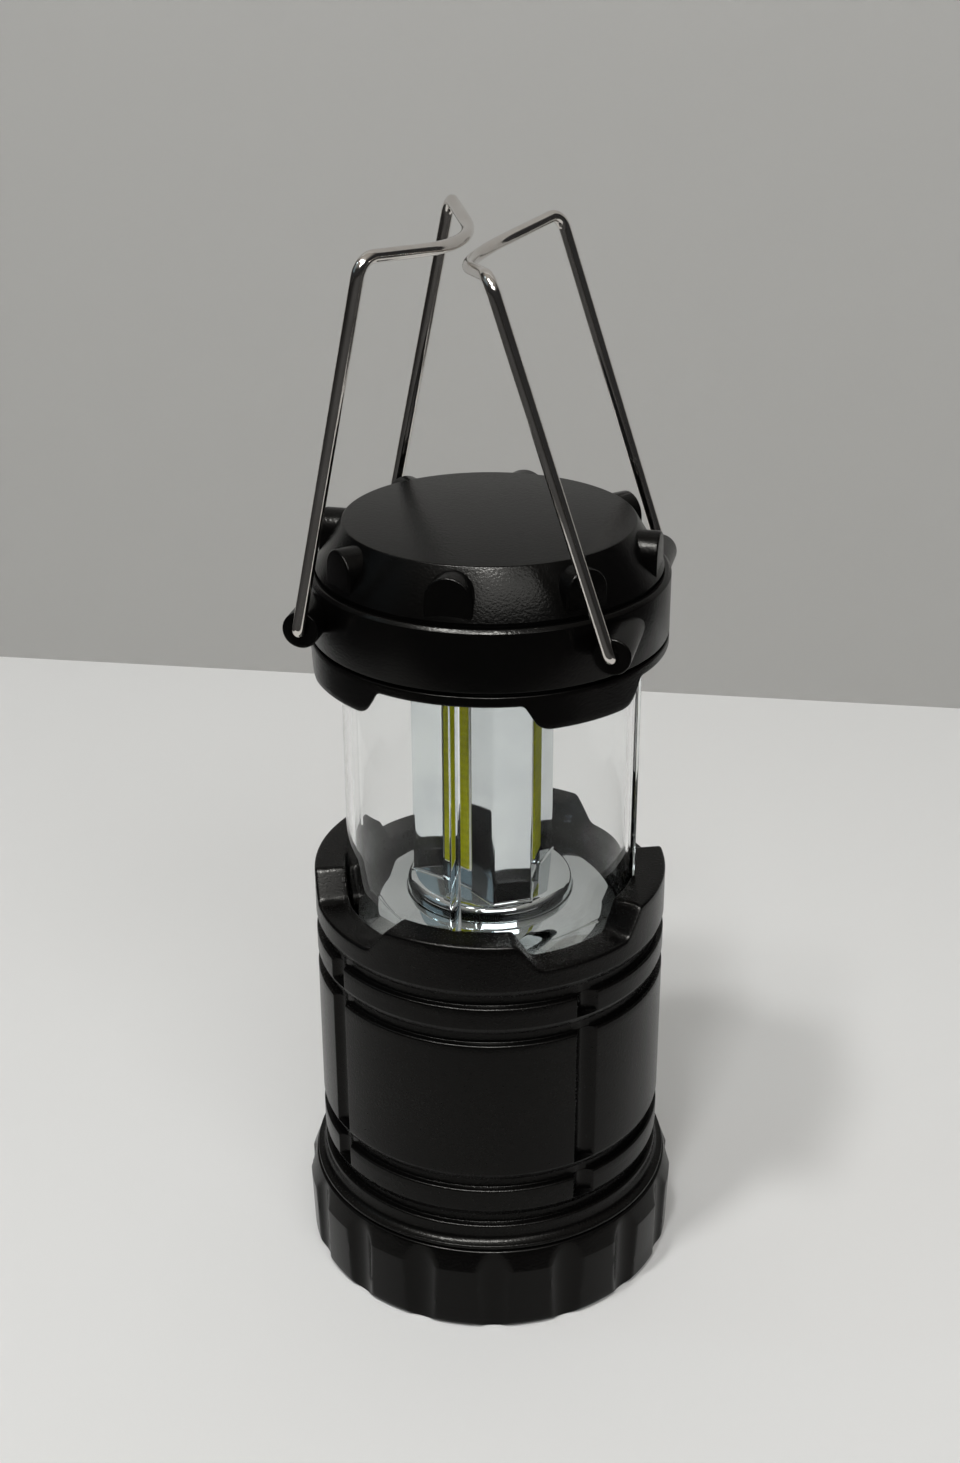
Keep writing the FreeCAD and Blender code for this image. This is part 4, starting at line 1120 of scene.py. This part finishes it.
tube_bore = TUBE_RADIUS - TUBE_WALL
tube_corners = [
    (tube_bore, TUBE_FOOT),
    (TUBE_RADIUS, TUBE_FOOT),
    (TUBE_RADIUS, TUBE_TOP),
    (tube_bore, TUBE_TOP),
]
tube_outline = refined(rounded(tube_corners, TUBE_EDGE, 4), TUBE_STEP)
tube_angles = angles_round(TUBE_TURN, FRONTS, half_width=2.6, dense_step=0.1)[:, None]
rib = cutter_face(offset_from(tube_angles, 0, SIDES), RIB_CENTRE, RIB_RADIUS, 1)
ribbed = (tube_outline[:, 0] > TUBE_RADIUS - OUTER_SKIN) & (tube_outline[:, 1] < RIB_TOP)
tube_radius = np.where(ribbed, np.maximum(tube_outline[:, 0], rib), tube_outline[:, 0])
add_piece(
    "clear_tube",
    [woven(turned(tube_radius, tube_outline[:, 1], tube_angles))],
    "lamp_head",
    clear_lens,
    "lens_tube",
)

# %% [markdown]
# ## Wire handles
# Two bails of bright drawn wire stand on the lugs and lean together at the top. Plain chrome would be too
# clean: drawing leaves fine streaks along the wire, and hands leave smudges, so the gloss varies with both.

# %% Wire finish
STREAK_HEIGHT = 0.00005


def streaked_metal(name, shades, smudge, streak, roughness, strength):
    """Bright metal: tint and gloss drift with smudges, gloss and height with streaks, a noise drawn out
    upwards. Smudge gives scale, detail and share of the gloss; streak gives scale, squeeze and share."""
    finish, place = new_finish(name)
    smudge_scale, detail, smudge_share = smudge
    streak_scale, squeeze, streak_share = streak
    drawn = finish.node("Mapping", None, {"Vector": place, "Scale": (1.0, 1.0, squeeze)})
    streaks = finish.noise(drawn, streak_scale)
    smudges = finish.noise(place, smudge_scale, detail)
    return finish.end_principled(
        {
            "Base Color": finish.ramp(smudges, (0.3, shades[0]), (0.7, shades[1])),
            "Metallic": 1.0,
            "Roughness": roughness + smudge_share * smudges + streak_share * streaks,
            "Normal": finish.bump(streaks, strength, STREAK_HEIGHT),
        }
    )


wire_shades = (0.60, 0.565, 0.53), (0.70, 0.67, 0.64)
handle_wire = streaked_metal("handle_wire", wire_shades, (120, 4.0, 0.07), (2400, 0.06, 0.04), 0.05, 0.08)
print("wire finish")

# %% [markdown]
# ### The bails
# Each bail is a round section carried along a bent line, whose corners are arcs, as a bending jig leaves
# them. A bevelled curve object could do it too, but the helpers above already round lines and weave grids.

# %% Handles
WIRE_RADIUS = 1.3
LEG_OFFSET, LEG_LENGTH, PIN_END, CROOK = 33.9, 77.4, 26.3, 14.9
FOOT_BEND, SHOULDER_BEND, CROOK_BEND = 1.55, 3.6, 40.0
LEFT_LEAN, RIGHT_LEAN = 11.6, 18.3
WIRE_STEPS, PATH_STEP = 24, 2.0


def carried_round(path, radius):
    """Round section along a line: point + radius * (cos(a) n + sin(a) b), where n is the X direction with
    its part along the line taken away, and b is square to both."""
    tangent = np.gradient(path, axis=0)
    tangent /= np.linalg.norm(tangent, axis=1, keepdims=True)
    normal = np.array([1.0, 0, 0]) - tangent[:, :1] * tangent
    normal /= np.linalg.norm(normal, axis=1, keepdims=True)
    binormal = np.cross(tangent, normal)
    angle = np.linspace(0, 2 * math.pi, WIRE_STEPS, endpoint=False)[None, :, None]
    ring = np.cos(angle) * normal[:, None] + np.sin(angle) * binormal[:, None]
    return woven(path[:, None] + radius * ring, wrap_rows=False, capped=True)


def bail(name, side, lean, finish):
    """Bent line in the bail's own plane, turned to face inwards, leant in, and moved to its pivot."""
    corners = [
        (0, -PIN_END, 0),
        (0, -LEG_OFFSET, 0),
        (0, -LEG_OFFSET, LEG_LENGTH),
        (CROOK, 0, LEG_LENGTH),
        (0, LEG_OFFSET, LEG_LENGTH),
        (0, LEG_OFFSET, 0),
        (0, PIN_END, 0),
    ]
    bends = [0, FOOT_BEND, SHOULDER_BEND, CROOK_BEND, SHOULDER_BEND, FOOT_BEND, 0]
    path = refined(rounded(corners, bends, 12), PATH_STEP, closed=False)
    points, faces = carried_round(path, WIRE_RADIUS)
    facing_in = Matrix.Rotation(0 if side < 0 else math.pi, 3, "Z")
    leaning_in = Matrix.Rotation(-side * math.radians(lean), 3, "Y")
    placed = points @ np.array(leaning_in @ facing_in).T + (side * PIVOT_OFFSET, 0, PIVOT_HEIGHT)
    add_piece(name + "_wire", [(placed, faces)], name, finish, name, crease=60)


bail("left_handle", -1, LEFT_LEAN, handle_wire)
bail("right_handle", 1, RIGHT_LEAN, handle_wire)

# %% [markdown]
# ## Inside parts
# The tray, cells, contacts, board, seal and screws could be worked out too, but little of them shows, so they
# keep their CAD meshes. Each gets its own finish, so that the lantern looks right when taken apart, and
# one list for each finish says which parts have it.

# %% Inside parts
BAND_START = 0.012


def cell_wrap(name):
    """Shrink wrap of a cell: dark over most of its length, with a copper band at one end."""
    finish, place = new_finish(name)
    along = finish.node("SeparateXYZ", None, {"Vector": place}, "Y")
    colour = finish.ramp(along > BAND_START, (0.0, (0.02, 0.021, 0.024)), (1.0, (0.42, 0.20, 0.07)))
    film = finish.noise(place, 400)
    return finish.end_principled(
        {"Base Color": colour, "Roughness": 0.25 + 0.1 * film, "Normal": finish.bump(film, 0.05, 0.0001)}
    )


plated = (0.55, 0.53, 0.48), (0.72, 0.70, 0.66)
contact_metal = streaked_metal("contact_metal", plated, (90, 3.0, 0.0), (1500, 0.1, 0.12), 0.22, 0.1)
circuit_green = soft_finish("circuit_green", (0.012, 0.06, 0.025), (0.02, 0.10, 0.04), 0.3, 500, 0.1)
seal_rubber = soft_finish("seal_rubber", (0.012, 0.012, 0.012), (0.02, 0.02, 0.02), 0.7, 1200, 0.3)
cell_film = cell_wrap("cell_film")
inside_finishes = {
    shell_black: ["battery_tray", "lamp_carrier"],
    cell_film: ["battery_cell_1", "battery_cell_2", "battery_cell_3"],
    contact_metal: [
        "contact_plates",
        "contact_springs",
        "contact_rails",
        "tray_screws",
        "sliding_contacts",
        "tower_screws",
    ],
    circuit_green: ["driver_board"],
    seal_rubber: ["cover_seal"],
}
for finish, names in inside_finishes.items():
    for name in names:
        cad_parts[name].data.materials.clear()
        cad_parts[name].data.materials.append(finish)
print("finished", sum(len(names) for names in inside_finishes.values()), "inside parts")
